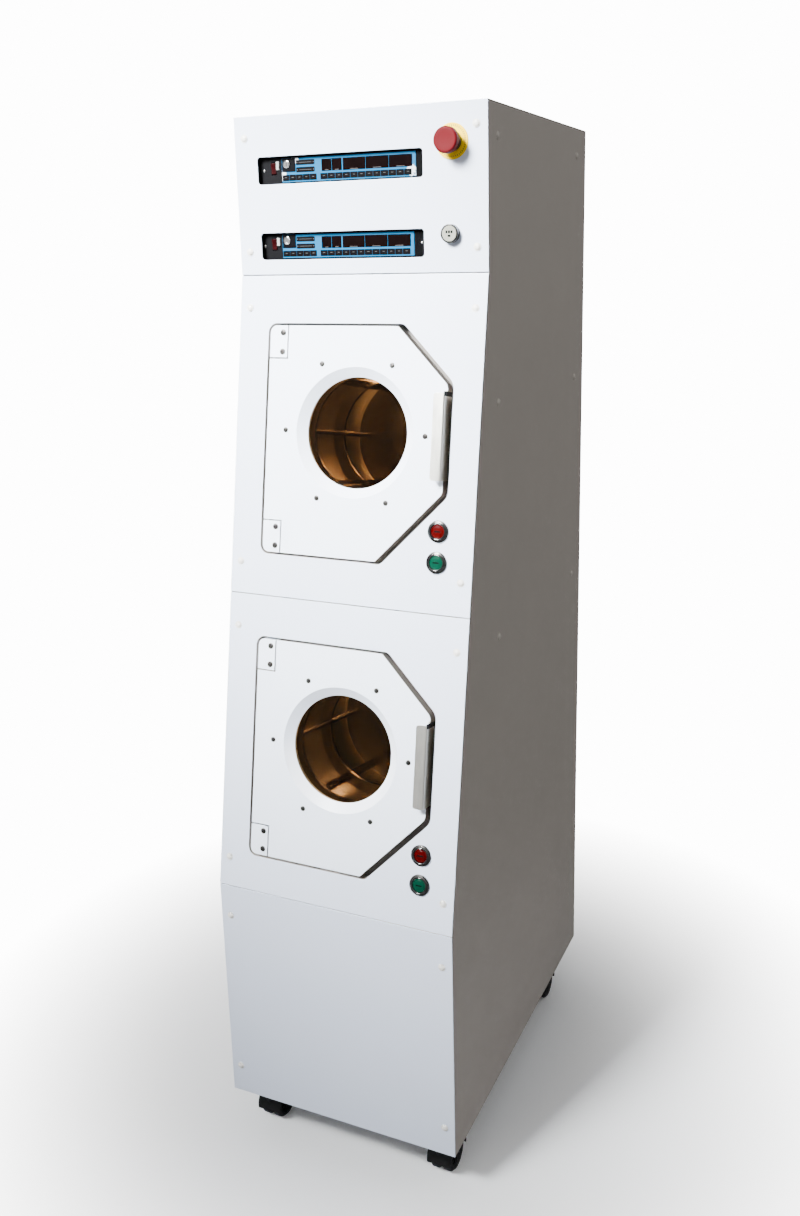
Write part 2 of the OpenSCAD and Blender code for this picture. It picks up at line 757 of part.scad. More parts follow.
// Length of each branch from its bowl to the riser, and the height where it meets it
function branch_s(i) = centre_s[i] - drain_drop;
function branch_len(i) = (drain_y - branch_s(i) * sin(lean_deg)) / cos(lean_deg) - bowl_back - stub_len;
function branch_z(i) = z_bend + branch_s(i) * cos(lean_deg)
    - (drain_y - branch_s(i) * sin(lean_deg)) * tan(lean_deg);

// Outside of the drain pipe for cut = 0, and its bore for cut = wall thickness
module drain_shape(cut) {
    over = cut > 0 ? 1 : 0;
    for (i = [0, 1]) at_chamber(i) translate([0, -drain_drop, 0])
        disc(branch_r - cut, bowl_back + stub_len - over, branch_len(i) + over);
    translate([chamber_x, drain_y, drain_z - riser_r + cut])
        cylinder(r = riser_r - cut, h = branch_z(1) - drain_z + 2 * (riser_r - cut));
    translate([chamber_x, drain_y, drain_z]) rotate([-90, 0, 0])
        cylinder(r = neck_r - cut, h = cabinet_d - drain_y + drain_out + over);
}

// A riser behind the motors, a branch to each bowl, and the outlet through the rear panel,
// which ends in a thicker spigot for the drain socket
module drain_pipe() color("gainsboro") difference() {
    union() {
        drain_shape(0);
        to_rear(chamber_x, drain_z) translate([0, 0, neck_out])
            cylinder(r = drain_r, h = drain_out - neck_out);
    }
    drain_shape(drain_wall);
}

module fluid_inlets() color("silver") for (x = inlet_x) to_rear(x, inlet_z) difference() {
    union() {
        cylinder(r = inlet_body_r + nut_over, h = collar_t, $fn = 6);
        translate([0, 0, -inlet_in]) cylinder(r = inlet_body_r, h = inlet_in + inlet_out);
        translate([0, 0, -sheet - nut_t]) cylinder(r = inlet_body_r + nut_over, h = nut_t, $fn = 6);
    }
    translate([0, 0, -inlet_in - 1]) cylinder(r = inlet_r, h = inlet_in + inlet_out + 2);
}

module power_gland() color([0.1, 0.1, 0.1]) to_rear(gland_x, gland_z) difference() {
    union() {
        cylinder(r = gland_r + nut_over, h = collar_t, $fn = 6);
        translate([0, 0, -gland_in]) cylinder(r = gland_r, h = gland_in + gland_out);
        translate([0, 0, -sheet - nut_t]) cylinder(r = gland_r + nut_over, h = nut_t, $fn = 6);
    }
    translate([0, 0, -gland_in - 1]) cylinder(r = gland_r - gland_wall, h = gland_in + gland_out + 2);
}

// Bank of valves on the base pan: one block with a coil for each fluid line
module solenoid_valves() color("goldenrod") {
    coils = 4;
    pitch = 42;
    block = [coils * pitch, 50, 40];
    neck = [9, 12];
    coil = [30, 36, 38];
    left = 150;
    to_front = 245;
    translate([-left, cabinet_d - to_front, caster_h + pan_t]) {
        cube(block);
        for (k = [0:coils - 1]) translate([pitch * (k + 0.5), block.y / 2, block.z]) {
            cylinder(r = neck[0], h = neck[1]);
            translate([-coil.x / 2, -coil.y / 2, neck[1]]) cube(coil);
        }
    }
}

// --- casters ---------------------------------------------------------------

module at_caster(c) {
    y = c < 2 ? caster_front_y : cabinet_d - caster_rear_y;
    translate([(c % 2 == 0 ? -1 : 1) * caster_x, y, 0]) children();
}

module across(x) rotate([0, 90, 0]) translate([0, 0, x]) children();

module caster_hood(c) color([0.06, 0.06, 0.06]) at_caster(c) {
    hood_r = wheel_r + hood_clear + hood_wall;
    top = caster_h - hood_top_gap;
    difference() {
        union() {
            intersection() {
                translate([0, caster_trail, wheel_r]) across(-hood_w / 2)
                    cylinder(r = hood_r, h = hood_w);
                translate([-hood_w, caster_trail - 2 * hood_r, wheel_r - hood_skirt])
                    cube([2 * hood_w, 4 * hood_r, 2 * hood_r]);
            }
            translate([0, caster_trail, wheel_r]) across(-web_t / 2)
                cylinder(r = hood_r - hood_web_in, h = web_t);
            translate([0, 0, wheel_r + boss_rise])
                cylinder(r = socket_r, h = top - wheel_r - boss_rise);
            translate([0, 0, top - eps]) cylinder(r = stem_caster_r, h = stem_caster_len);
        }
        for (side = [0, 1]) translate([0, caster_trail, wheel_r]) mirror([side, 0, 0])
            across(web_t / 2) cylinder(r = wheel_r + hood_clear, h = hood_w);
        translate([0, caster_trail, wheel_r]) across(-hood_w) cylinder(r = axle_r + run_play, h = 2 * hood_w);
    }
}

module caster_wheels(c) color([0.12, 0.12, 0.12]) at_caster(c) translate([0, caster_trail, wheel_r]) {
    inner = web_t / 2 + wheel_gap;
    for (side = [0, 1]) mirror([side, 0, 0]) rotate([0, 90, 0]) rotate_extrude()
        polygon([[0, inner], [wheel_r - 2, inner], [wheel_r, inner + 2],
            [wheel_r, inner + wheel_w - 4], [wheel_r - 4, inner + wheel_w],
            [wheel_r - 8, inner + wheel_w], [wheel_r - 11, inner + wheel_w - 4],
            [9, inner + wheel_w - 4], [7, inner + wheel_w - 1], [0, inner + wheel_w - 1]]);
    across(-inner - 1) cylinder(r = axle_r, h = 2 * inner + 2);
}

// --- drawing ---------------------------------------------------------------

translate([0, y_shift, 0]) {
    base_pan();
    side_panel(-1);  // left_side_panel
    side_panel(1);  // right_side_panel
    rear_panel();
    top_panel();
    kick_panel();
    control_fascia();
    panel_screws();
    corner_posts();
    bearing_housings();
    rotor_bearings();
    drive_motors();
    spray_manifolds();
    hinge_blocks();
    hinge_pins();
    switch_bezels();
    estop_disc();
    estop_plunger();
    estop_head();
    power_button();
    controller_cases();
    controller_overlays();
    drain_pipe();
    fluid_inlets();
    power_gland();
    solenoid_valves();
    for (i = [0, 1]) {
        chamber_panel(i);
        process_bowl(i);
        rotor(i);
        rotor_shaft(i);
        door_panel(i);
        door_window(i);
        window_clamp(i);
        door_seal(i);
        door_handle(i);
        rocker(i);
        key_switch(i);
        for (k = [0, 1])
            lamp_button(i, k);
    }
    for (c = [0:3]) {
        caster_hood(c);
        caster_wheels(c);
    }
}
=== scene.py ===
"""Visible surfaces of a two-chamber spin rinse dryer, built around its CAD frame.

Every piece is made in metres in the frame's own axes. Places and most sizes are
measured from the frame's nodes and joints, so the looks follow the CAD model.
"""

import json
import math

import bmesh
import bpy
from bpy.props import FloatProperty, FloatVectorProperty, IntProperty, PointerProperty
from mathutils import Matrix, Vector

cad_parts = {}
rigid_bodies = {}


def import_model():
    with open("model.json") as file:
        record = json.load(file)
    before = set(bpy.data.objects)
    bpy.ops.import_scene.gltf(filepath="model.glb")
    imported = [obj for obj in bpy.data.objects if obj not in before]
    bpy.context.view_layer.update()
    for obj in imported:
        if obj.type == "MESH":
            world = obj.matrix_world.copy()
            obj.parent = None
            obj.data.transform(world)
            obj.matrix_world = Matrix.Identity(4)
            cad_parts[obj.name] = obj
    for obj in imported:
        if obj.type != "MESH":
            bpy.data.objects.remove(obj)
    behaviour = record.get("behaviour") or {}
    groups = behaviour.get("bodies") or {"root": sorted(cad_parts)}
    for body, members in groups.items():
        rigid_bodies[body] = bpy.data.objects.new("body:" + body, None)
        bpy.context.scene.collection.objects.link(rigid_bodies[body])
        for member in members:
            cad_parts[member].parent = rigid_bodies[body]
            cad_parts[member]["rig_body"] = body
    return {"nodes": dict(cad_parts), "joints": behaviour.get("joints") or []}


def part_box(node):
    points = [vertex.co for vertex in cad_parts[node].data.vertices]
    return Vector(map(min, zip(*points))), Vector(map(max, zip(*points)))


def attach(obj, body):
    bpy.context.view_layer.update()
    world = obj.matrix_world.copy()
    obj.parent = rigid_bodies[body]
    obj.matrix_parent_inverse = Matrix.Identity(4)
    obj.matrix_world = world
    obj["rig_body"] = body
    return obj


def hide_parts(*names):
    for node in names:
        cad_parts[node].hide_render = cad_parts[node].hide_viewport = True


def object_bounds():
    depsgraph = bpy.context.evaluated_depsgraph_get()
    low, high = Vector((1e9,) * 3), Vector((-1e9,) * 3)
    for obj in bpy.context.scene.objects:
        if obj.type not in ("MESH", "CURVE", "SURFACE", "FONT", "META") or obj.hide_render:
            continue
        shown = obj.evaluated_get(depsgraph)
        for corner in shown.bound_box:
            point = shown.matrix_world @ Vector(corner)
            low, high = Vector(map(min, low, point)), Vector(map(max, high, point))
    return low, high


bl_info = {
    "name": "Spin rinse dryer looks",
    "version": (1, 0, 0),
    "blender": (4, 5, 0),
    "location": "3D View > Sidebar > Dryer",
    "description": "Builds the visible surfaces of a two-chamber spin rinse dryer",
    "category": "Object",
}

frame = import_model()
CAD_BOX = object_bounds()
NODES = frame["nodes"]
JOINTS = {j["name"]: j for j in frame["joints"]}
LEVELS = ("lower", "upper")
CORNERS = ("front_left", "front_right", "rear_left", "rear_right")
MM = 0.001
CAD_WELD = 2e-6  # metres: points of a CAD mesh this near are one
WELD = 1e-7  # metres: points of a made mesh this near are one
FLAT = math.radians(0.8)  # faces of a CAD mesh that differ less are one
ROUNDED = math.radians(32)  # edges sharper than this are rounded
SHARP = math.radians(40)  # edges sharper than this are shaded sharp


def extent(points):
    """Lowest and highest corner of the box around some points."""
    columns = list(zip(*points))
    return Vector(map(min, columns)), Vector(map(max, columns))


def polar(r, a, z=0.0):
    """The point at a radius and an angle."""
    return Vector((r * math.cos(a), r * math.sin(a), z))


def turns(count):
    """Angles of evenly spaced places around a circle."""
    return [2 * math.pi * k / count for k in range(count)]


# --- places ------------------------------------------------------------------


class Place:
    """A flat face of the object: a point on it and its up and outward directions."""

    def __init__(self, origin, up, out):
        up, out = Vector(up).normalized(), Vector(out).normalized()
        self.matrix = Matrix((up.cross(out), up, out)).transposed().to_4x4()
        self.matrix.translation = Vector(origin)

    def at(self, u, v, z=0.0):
        """Matrix of a point given in millimetres."""
        return self.matrix @ Matrix.Translation(Vector((u, v, z)) * MM)

    def span(self, node):
        """Lowest and highest corner of a CAD node in this face's axes, in millimetres."""
        back = self.matrix.inverted()
        return extent([back @ v.co / MM for v in NODES[node].data.vertices])

    def round(self, node):
        """Centre, radius, foot and top of a round CAD node, in millimetres."""
        low, high = self.span(node)
        return (low.x + high.x) / 2, (low.y + high.y) / 2, (high.x - low.x) / 2, low.z, high.z


def chamber_place(level):
    """The door's face around the chamber's centre."""
    out = Vector(JOINTS[f"{level}_rotor_spin"]["axis"]).normalized()
    up = -Vector(JOINTS[f"{level}_door_hinge"]["axis"]).normalized()
    axis = Vector(JOINTS[f"{level}_rotor_spin"]["pos_m"])
    face = max(out.dot(v.co) for v in NODES[f"{level}_door_panel"].data.vertices)
    return Place(axis + out * (face - out.dot(axis)), up, out)


CHAMBER = {level: chamber_place(level) for level in LEVELS}
FASCIA = Place(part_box("control_fascia")[0], (0, 0, 1), (0, -1, 0))
REAR = Place((0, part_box("rear_panel")[1].y, 0), (0, 0, 1), (0, 1, 0))


# --- node trees --------------------------------------------------------------


class Wire:
    """A node's output that takes part in Python arithmetic."""

    def __init__(self, net, socket):
        self.net, self.socket = net, socket

    def _math(self, operation, a, b):
        return self.net.node("ShaderNodeMath", {"operation": operation}, {0: a, 1: b})

    def __add__(self, other):
        return self._math("ADD", self, other)

    def __sub__(self, other):
        return self._math("SUBTRACT", self, other)

    def __rsub__(self, other):
        return self._math("SUBTRACT", other, self)

    def __mul__(self, other):
        return self._math("MULTIPLY", self, other)

    def __truediv__(self, other):
        return self._math("DIVIDE", self, other)

    __radd__, __rmul__ = __add__, __mul__


class Net:
    """The nodes of one material or one geometry tree."""

    def __init__(self, tree):
        self.tree = tree

    def node(self, kind, settings=(), values=(), out=0):
        """Adds a node with its settings and the values or links of its sockets."""
        made = self.tree.nodes.new(kind)
        for key, value in dict(settings).items():
            setattr(made, key, value)
        for key, value in dict(values).items():
            if isinstance(value, Wire):
                self.tree.links.new(value.socket, made.inputs[key])
            else:
                made.inputs[key].default_value = value
        return Wire(self, made.outputs[out]) if made.outputs else None


class Finish(Net):
    """A material under construction, with helpers for procedural detail."""

    def __init__(self, name):
        self.material = bpy.data.materials.new(name)
        self.material.use_nodes = True
        super().__init__(self.material.node_tree)
        self.tree.nodes.clear()
        self.place = self.node("ShaderNodeTexCoord", out="Object")

    def along(self, axis):
        """The place along one of the object's axes, in metres."""
        return self.node("ShaderNodeSeparateXYZ", {}, {"Vector": self.place}, axis)

    def stretched(self, scale, rotation=(0, 0, 0)):
        values = {"Vector": self.place, "Scale": scale, "Rotation": rotation}
        return self.node("ShaderNodeMapping", {}, values)

    def noise(self, scale, detail=3.0, rough=0.5, where=None):
        values = {"Vector": where or self.place, "Scale": scale, "Detail": detail, "Roughness": rough}
        return self.node("ShaderNodeTexNoise", {}, values)

    def cells(self, scale, spread, out=0):
        values = {"Vector": self.place, "Scale": scale, "Randomness": spread}
        return self.node("ShaderNodeTexVoronoi", {}, values, out)

    def ramp(self, fac, low, high):
        """Zero below low, one above high, straight between them."""
        wire = self.node("ShaderNodeValToRGB", {}, {"Fac": fac})
        stops = wire.socket.node.color_ramp.elements
        stops[0].position, stops[0].color = low, (0, 0, 0, 1)
        stops[1].position, stops[1].color = high, (1, 1, 1, 1)
        return wire

    def mix(self, factor, a, b):
        """Colour that goes from a to b."""
        a, b = (c if isinstance(c, Wire) else (*c, 1) for c in (a, b))
        return self.node("ShaderNodeMix", {"data_type": "RGBA"}, {0: factor, 6: a, 7: b}, 2)

    def bump(self, height, distance, strength):
        values = {"Height": height, "Distance": distance, "Strength": strength}
        return self.node("ShaderNodeBump", {}, values)

    def shader(self, **values):
        """A Principled shader; its sockets are named with underscores."""
        names = {k.replace("_", " "): v for k, v in values.items()}
        return self.node("ShaderNodeBsdfPrincipled", {}, names)

    def close(self, shader):
        self.node("ShaderNodeOutputMaterial", {}, {"Surface": shader})
        return self.material

    def surface(self, **values):
        """Ends the material with a Principled shader."""
        return self.close(self.shader(**values))


DUST = (0.5, 0.47, 0.42)  # colour of settled dust


def times(colour, k):
    return tuple(min(1.0, c * k) for c in colour)


def painted(name, colour, roughness=0.4, peel=0.00012, mottle=0.03, coat=0.0, grain=650.0):
    """Powder-coated sheet: fine orange peel, faint handling marks and uneven gloss."""
    f = Finish(name)
    marks = f.noise(7.0, 4.0, 0.6)
    smear = f.ramp(f.noise(3.1, 5.0, 0.7, f.stretched((1, 1, 2.5))), 0.45, 0.75)
    return f.surface(
        Base_Color=f.mix(marks, times(colour, 1 - mottle), times(colour, 1 + mottle)),
        Roughness=roughness + 0.08 * smear - 0.05 * marks,
        Coat_Weight=coat,
        Normal=f.bump(f.noise(grain, 2.0), peel, 0.5),
    )


def brushed(name, colour, roughness=0.28, run=(1, 1, 1), lines=380.0, depth=0.00004, tilt=0.0):
    """Metal with fine grinding lines; run is small along the lines, which tilt turns about X."""
    f = Finish(name)
    fine = f.noise(lines, 2.0, 0.6, f.stretched(run, (tilt, 0, 0)))
    broad = f.noise(11.0, 3.0)
    base = f.mix(fine, times(colour, 0.84), times(colour, 1.1))
    return f.surface(
        Base_Color=f.mix(0.3 * broad, base, times(colour, 0.75)),
        Metallic=1.0,
        Roughness=roughness + 0.14 * (fine - 0.5) + 0.1 * (broad - 0.5),
        Normal=f.bump(fine, depth, 0.6),
    )


def moulded(name, colour, roughness=0.4, grain=2600.0, depth=0.00006, dust=0.06, coat=0.0, gloss=0.5):
    """Moulded plastic or rubber with a fine spark-eroded grain and a little dust."""
    f = Finish(name)
    wipe = f.ramp(f.noise(23.0, 4.0, 0.65), 0.4, 0.8)
    return f.surface(
        Base_Color=f.mix(dust * wipe, colour, DUST),
        Roughness=roughness + 0.12 * wipe,
        Coat_Weight=coat,
        Specular_IOR_Level=gloss,
        Normal=f.bump(f.noise(grain, 3.0, 0.6), depth, 0.5),
    )


def zinc(name, colour=(0.55, 0.57, 0.58)):
    """Galvanised sheet with spangles of different brightness."""
    f = Finish(name)
    grey = f.node("ShaderNodeRGBToBW", {}, {"Color": f.cells(90.0, 1.0, "Color")})
    return f.surface(
        Base_Color=f.mix(grey, times(colour, 0.72), times(colour, 1.2)),
        Metallic=0.9,
        Roughness=0.36 + 0.16 * grey,
        Normal=f.bump(f.noise(240.0), 0.00005, 0.4),
    )


def cast(name, colour, metallic=0.8, roughness=0.5):
    """Cast or sprayed surface with a coarse skin."""
    f = Finish(name)
    patch = f.noise(16.0, 3.0)
    return f.surface(
        Base_Color=f.mix(patch, times(colour, 0.8), times(colour, 1.15)),
        Metallic=metallic,
        Roughness=roughness + 0.15 * (patch - 0.5),
        Normal=f.bump(f.noise(420.0, 4.0, 0.65), 0.00018, 0.6),
    )


def lens_plastic(name, colour, glow=0.12):
    """Clear coloured moulding over a prismatic back: bright cells under a smooth skin."""
    f = Finish(name)
    prisms = f.cells(620.0, 0.2)
    cell = f.ramp(prisms, 0.1, 0.75)
    return f.surface(
        Base_Color=f.mix(cell, times(colour, 1.25), times(colour, 0.7)),
        Roughness=0.22 + 0.1 * cell,
        Specular_IOR_Level=0.08,
        # Emission is painted light: the lens gives off its own colour, though no lamp lights it.
        Emission_Color=(*colour, 1),
        Emission_Strength=glow,
        Normal=f.bump(prisms, 0.00012, 0.25),
    )


def smoked_glass(name, tint, haze):
    """Tinted pane: smooth, darker than what is behind it, with faint wiping streaks."""
    f = Finish(name)
    streaks = f.ramp(f.noise(26.0, 5.0, 0.7, f.stretched((1.0, 1.0, 0.35))), 0.5, 0.8)
    clear = f.node("ShaderNodeBsdfTransparent", {}, {"Color": (*tint, 1)})
    face = f.shader(Base_Color=(0.012, 0.009, 0.007, 1), Roughness=0.04 + 0.12 * streaks)
    rim = f.node("ShaderNodeFresnel", {}, {"IOR": 1.45})
    shown = haze + rim * 0.5 + 0.04 * streaks
    return f.close(f.node("ShaderNodeMixShader", {}, {0: shown, 1: clear, 2: face}))


# --- meshes ------------------------------------------------------------------


def plain_mesh(obj):
    """The evaluated mesh of a working object, which is then removed."""
    graph = bpy.context.evaluated_depsgraph_get()
    mesh = bpy.data.meshes.new_from_object(obj.evaluated_get(graph))
    bpy.data.objects.remove(obj)
    return mesh


def working(mesh):
    obj = bpy.data.objects.new("working", mesh)
    bpy.context.scene.collection.objects.link(obj)
    return obj


def softened(mesh, width, segments=2):
    """The mesh with its sharp edges rounded."""
    obj = working(mesh)
    bevel = obj.modifiers.new("Round", "BEVEL")
    bevel.width, bevel.segments = width, segments
    bevel.limit_method, bevel.angle_limit = "ANGLE", ROUNDED
    bevel.use_clamp_overlap = True
    return plain_mesh(obj)


def mesh_of(bm, name):
    """The mesh of a finished bmesh, which is then freed."""
    mesh = bpy.data.meshes.new(name)
    bm.to_mesh(mesh)
    bm.free()
    return mesh


def closed(bm, name):
    """A mesh with merged points and outward normals."""
    bmesh.ops.remove_doubles(bm, verts=bm.verts, dist=WELD)
    bmesh.ops.recalc_face_normals(bm, faces=bm.faces)
    return mesh_of(bm, name)


def bridge(bm, rows):
    """Faces between closed rows of points; a corner that comes twice is left out."""
    for low, high in zip(rows, rows[1:]):
        for k in range(len(low)):
            n = (k + 1) % len(low)
            corners = list(dict.fromkeys((low[k], low[n], high[n], high[k])))
            if len(corners) > 2:
                bm.faces.new(corners)


def cad_mesh(node):
    """A welded copy of a CAD node's mesh."""
    bm = bmesh.new()
    fresh = [bm.verts.new(v.co) for v in NODES[node].data.vertices]
    for face in NODES[node].data.polygons:
        bm.faces.new([fresh[i] for i in face.vertices])
    bmesh.ops.remove_doubles(bm, verts=bm.verts, dist=CAD_WELD)
    bmesh.ops.dissolve_limit(bm, angle_limit=FLAT, verts=bm.verts, edges=bm.edges)
    return mesh_of(bm, node + "_copy")


def lathe(profile, steps=64):
    """A solid of revolution about local Z from (radius, height) pairs in millimetres."""
    bm = bmesh.new()
    rings = []
    for r, z in profile:
        if r == 0:
            rings.append([bm.verts.new((0, 0, z * MM))] * steps)
        else:
            rings.append([bm.verts.new(polar(r, a, z) * MM) for a in turns(steps)])
    bridge(bm, rings)
    return closed(bm, "lathe")


def bend(centre, r, start, stop, steps=5):
    """Points of an arc in a profile, in degrees."""
    angles = [math.radians(start + (stop - start) * k / steps) for k in range(steps + 1)]
    return [(centre[0] + r * math.cos(a), centre[1] + r * math.sin(a)) for a in angles]


def prism(outline, low, high):
    """A straight extrusion of a closed outline, in millimetres."""
    bm = bmesh.new()
    floor, roof = ([bm.verts.new(Vector((x, y, z)) * MM) for x, y in outline] for z in (low, high))
    bm.faces.new(floor[::-1])
    bm.faces.new(roof)
    bridge(bm, (floor, roof))
    return closed(bm, "prism")


def rounded_box(x0, x1, y0, y1, corner):
    """Outline of a rectangle with rounded corners."""
    centres = ((x1 - corner, y1 - corner), (x0 + corner, y1 - corner),
               (x0 + corner, y0 + corner), (x1 - corner, y0 + corner))
    return sum((bend(c, corner, 90 * k, 90 * k + 90) for k, c in enumerate(centres)), [])


def joined(parts):
    """One mesh from (mesh, matrix, slot number) parts."""
    bm = bmesh.new()
    for mesh, matrix, slot in parts:
        start = len(bm.faces)
        bm.from_mesh(mesh)
        bm.faces.ensure_lookup_table()
        fresh = bm.faces[start:]
        for face in fresh:
            face.material_index = slot
        verts = {v for face in fresh for v in face.verts}
        bmesh.ops.transform(bm, matrix=matrix, verts=list(verts))
    return mesh_of(bm, "joined")


def piece(name, mesh, finishes, body, slot, replaces=()):
    """Puts a finished mesh in the scene, riding on a body."""
    numbers = [face.material_index for face in mesh.polygons]
    mesh.materials.clear()
    for m in finishes:
        mesh.materials.append(m)
    mesh.polygons.foreach_set("material_index", numbers)
    mesh.shade_smooth()
    mesh.set_sharp_from_angle(angle=SHARP)
    rough = working(mesh)
    even = rough.modifiers.new("Even shading", "WEIGHTED_NORMAL")
    even.mode, even.weight, even.keep_sharp = "FACE_AREA", 100, True
    mesh = plain_mesh(rough)
    mesh.name = name
    obj = bpy.data.objects.new(name, mesh)
    bpy.context.scene.collection.objects.link(obj)
    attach(obj, body)
    if replaces:
        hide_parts(*replaces)


def body_of(node):
    return NODES[node]["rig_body"]


def refined(node, width, finish, slot, segments=2, inner=None, where=None):
    """A CAD node's own shape with its edges rounded, shown in its place.

    Faces for which where(normal, centre) is true get the inner finish.
    """
    mesh = softened(cad_mesh(node), width * MM, segments)
    finishes = [finish]
    if inner:
        finishes.append(inner)
        for face in mesh.polygons:
            face.material_index = int(where(face.normal, face.center))
    piece(node + "_skin", mesh, finishes, body_of(node), slot, [node])


def edge_faces(place, reach=None, beyond=0.0):
    """Test for faces square to a place's face, within reach or beyond a radius in millimetres."""
    back = place.matrix.inverted()

    def test(normal, centre):
        spot = back @ centre / MM
        sideways = abs((back.to_3x3() @ normal).z) < 0.5
        near = reach is None or (abs(spot.x) < reach and abs(spot.y) < reach)
        return sideways and near and spot.xy.length > beyond

    return test


def flange_faces(place, depth):
    """Test for the faces that look forward at a depth in millimetres behind a place's face."""
    back = place.matrix.inverted()

    def test(normal, centre):
        forward = (back.to_3x3() @ normal).z > 0.9
        return forward and abs((back @ centre / MM).z + depth) < 0.5

    return test


# --- geometry trees ----------------------------------------------------------


class Tree(Net):
    """A geometry tree with named inputs."""

    def __init__(self, name, **inputs):
        group = bpy.data.node_groups.new(name, "GeometryNodeTree")
        for title, kind in inputs.items():
            socket = f"NodeSocket{kind}"
            group.interface.new_socket(title.replace("_", " "), in_out="INPUT", socket_type=socket)
        group.interface.new_socket("Geometry", in_out="OUTPUT", socket_type="NodeSocketGeometry")
        super().__init__(group)
        self.entry = group.nodes.new("NodeGroupInput")

    def given(self, title):
        return Wire(self, self.entry.outputs[title])

    def add(self, kind, settings=(), out=0, **values):
        """Adds a node; a text value stands for the tree's own input of that name."""
        sockets = {}
        for key, value in values.items():
            sockets[key.replace("_", " ")] = self.given(value) if isinstance(value, str) else value
        return self.node(kind, settings, sockets, out)

    def finished(self, instances):
        """Realizes the instances, sets their material and ends the tree."""
        real = self.add("GeometryNodeRealizeInstances", Geometry=instances)
        made = self.add("GeometryNodeSetMaterial", Geometry=real, Material="Finish")
        self.add("NodeGroupOutput", Geometry=made)
        return self.tree


def scatter_tree():
    """Copies of a template object on points, each turned by the point's own rotation."""
    t = Tree(
        "Copies on points", Geometry="Geometry", Template="Object", Spin="Float", Seed="Int",
        Finish="Material",
    )
    own_space = {"transform_space": "ORIGINAL"}
    shape = t.add("GeometryNodeObjectInfo", own_space, "Geometry", Object="Template")
    turn = t.node("GeometryNodeInputNamedAttribute", {"data_type": "QUATERNION"}, {"Name": "turn"})
    chance = t.add("FunctionNodeRandomValue", {"data_type": "FLOAT"}, 1, Seed="Seed")
    spin = t.add("ShaderNodeCombineXYZ", Z=chance * t.given("Spin"))
    own = t.add("FunctionNodeEulerToRotation", Euler=spin)
    local = {"rotation_space": "LOCAL"}
    facing = t.add("FunctionNodeRotateRotation", local, Rotation=turn, Rotate_By=own)
    copies = t.add(
        "GeometryNodeInstanceOnPoints", Points="Geometry", Instance=shape, Rotation=facing
    )
    return t.finished(copies)


def pads_tree():
    """Rows of raised pads with rounded corners, such as keys, windows and ribs."""
    t = Tree(
        "Rows of pads", Columns="Int", Rows="Int", Pitch_X="Float", Pitch_Y="Float", Width="Float",
        Height="Float", Corner="Float", Thickness="Float", Finish="Material",
    )
    grid = t.add(
        "GeometryNodeMeshGrid", Vertices_X="Columns", Vertices_Y="Rows",
        Size_X=t.given("Pitch X") * (t.given("Columns") - 1.0),
        Size_Y=t.given("Pitch Y") * (t.given("Rows") - 1.0),
    )
    outline = t.add("GeometryNodeCurvePrimitiveQuadrilateral", Width="Width", Height="Height")
    soft = t.add("GeometryNodeFilletCurve", {"mode": "POLY"}, Curve=outline, Count=4, Radius="Corner")
    flat = t.add("GeometryNodeFillCurve", {"mode": "NGONS"}, Curve=soft)
    raised = t.add(
        "GeometryNodeExtrudeMesh", Mesh=flat, Offset_Scale="Thickness", Individual=False
    )
    both = t.node("GeometryNodeJoinGeometry")
    for part in (raised, t.add("GeometryNodeFlipFaces", Mesh=flat)):
        t.tree.links.new(part.socket, both.socket.node.inputs[0])
    shut = t.add("GeometryNodeMergeByDistance", Geometry=both, Distance=WELD)
    return t.finished(t.add("GeometryNodeInstanceOnPoints", Points=grid, Instance=shut))


def ring_tree():
    """Bars around a circle, such as marks on a dial or ribs in a wheel."""
    t = Tree(
        "Bars on a ring", Count="Int", Radius="Float", Length="Float", Width="Float",
        Height="Float", Finish="Material",
    )
    ring = t.add("GeometryNodeMeshCircle", Vertices="Count", Radius="Radius")
    size = t.add("ShaderNodeCombineXYZ", X="Length", Y="Width", Z="Height")
    bar = t.add("GeometryNodeMeshCube", Size=size)
    place = t.node("GeometryNodeInputPosition")
    facing = t.add("FunctionNodeAlignRotationToVector", {"axis": "X"}, Vector=place)
    return t.finished(
        t.add("GeometryNodeInstanceOnPoints", Points=ring, Instance=bar, Rotation=facing)
    )


TREES = {"scatter": scatter_tree(), "pads": pads_tree(), "ring": ring_tree()}


def run_tree(name, finish, base=None, **values):
    """The mesh that a tree makes, from a base mesh if it needs one; sizes are in metres."""
    tree = TREES[name]
    obj = working(base or bpy.data.meshes.new("none"))
    modifier = obj.modifiers.new("Build", "NODES")
    modifier.node_group = tree
    values["Finish"] = finish
    for item in tree.interface.items_tree:
        if item.in_out == "INPUT" and item.name.replace(" ", "_") in values:
            modifier[item.identifier] = values[item.name.replace(" ", "_")]
    return plain_mesh(obj)


def scatter(template, places, finish, seed=3):
    """Copies of a template mesh at the given matrices, spun by chance, as one mesh."""
    points = bpy.data.meshes.new("points")
    points.from_pydata([m.translation for m in places], [], [])
    turn = points.attributes.new("turn", "QUATERNION", "POINT")
    for item, m in zip(turn.data, places):
        item.value = m.to_quaternion()
    pattern = working(template)
    mesh = run_tree("scatter", finish, points, Template=pattern, Spin=2 * math.pi, Seed=seed)
    bpy.data.objects.remove(pattern)
    return mesh


def pads(finish, columns, rows, pitch, size, corner, thickness):
    """Rows of pads in millimetres, centred on the origin and standing on its plane."""
    return run_tree(
        "pads", finish, Columns=columns, Rows=rows, Pitch_X=pitch[0] * MM, Pitch_Y=pitch[1] * MM,
        Width=size[0] * MM, Height=size[1] * MM, Corner=corner * MM, Thickness=thickness * MM,
    )


def ring_bars(finish, count, radius, length, width, height):
    """Bars around the origin, in millimetres."""
    return run_tree(
        "ring", finish, Count=count, Radius=radius * MM, Length=length * MM, Width=width * MM,
        Height=height * MM,
    )


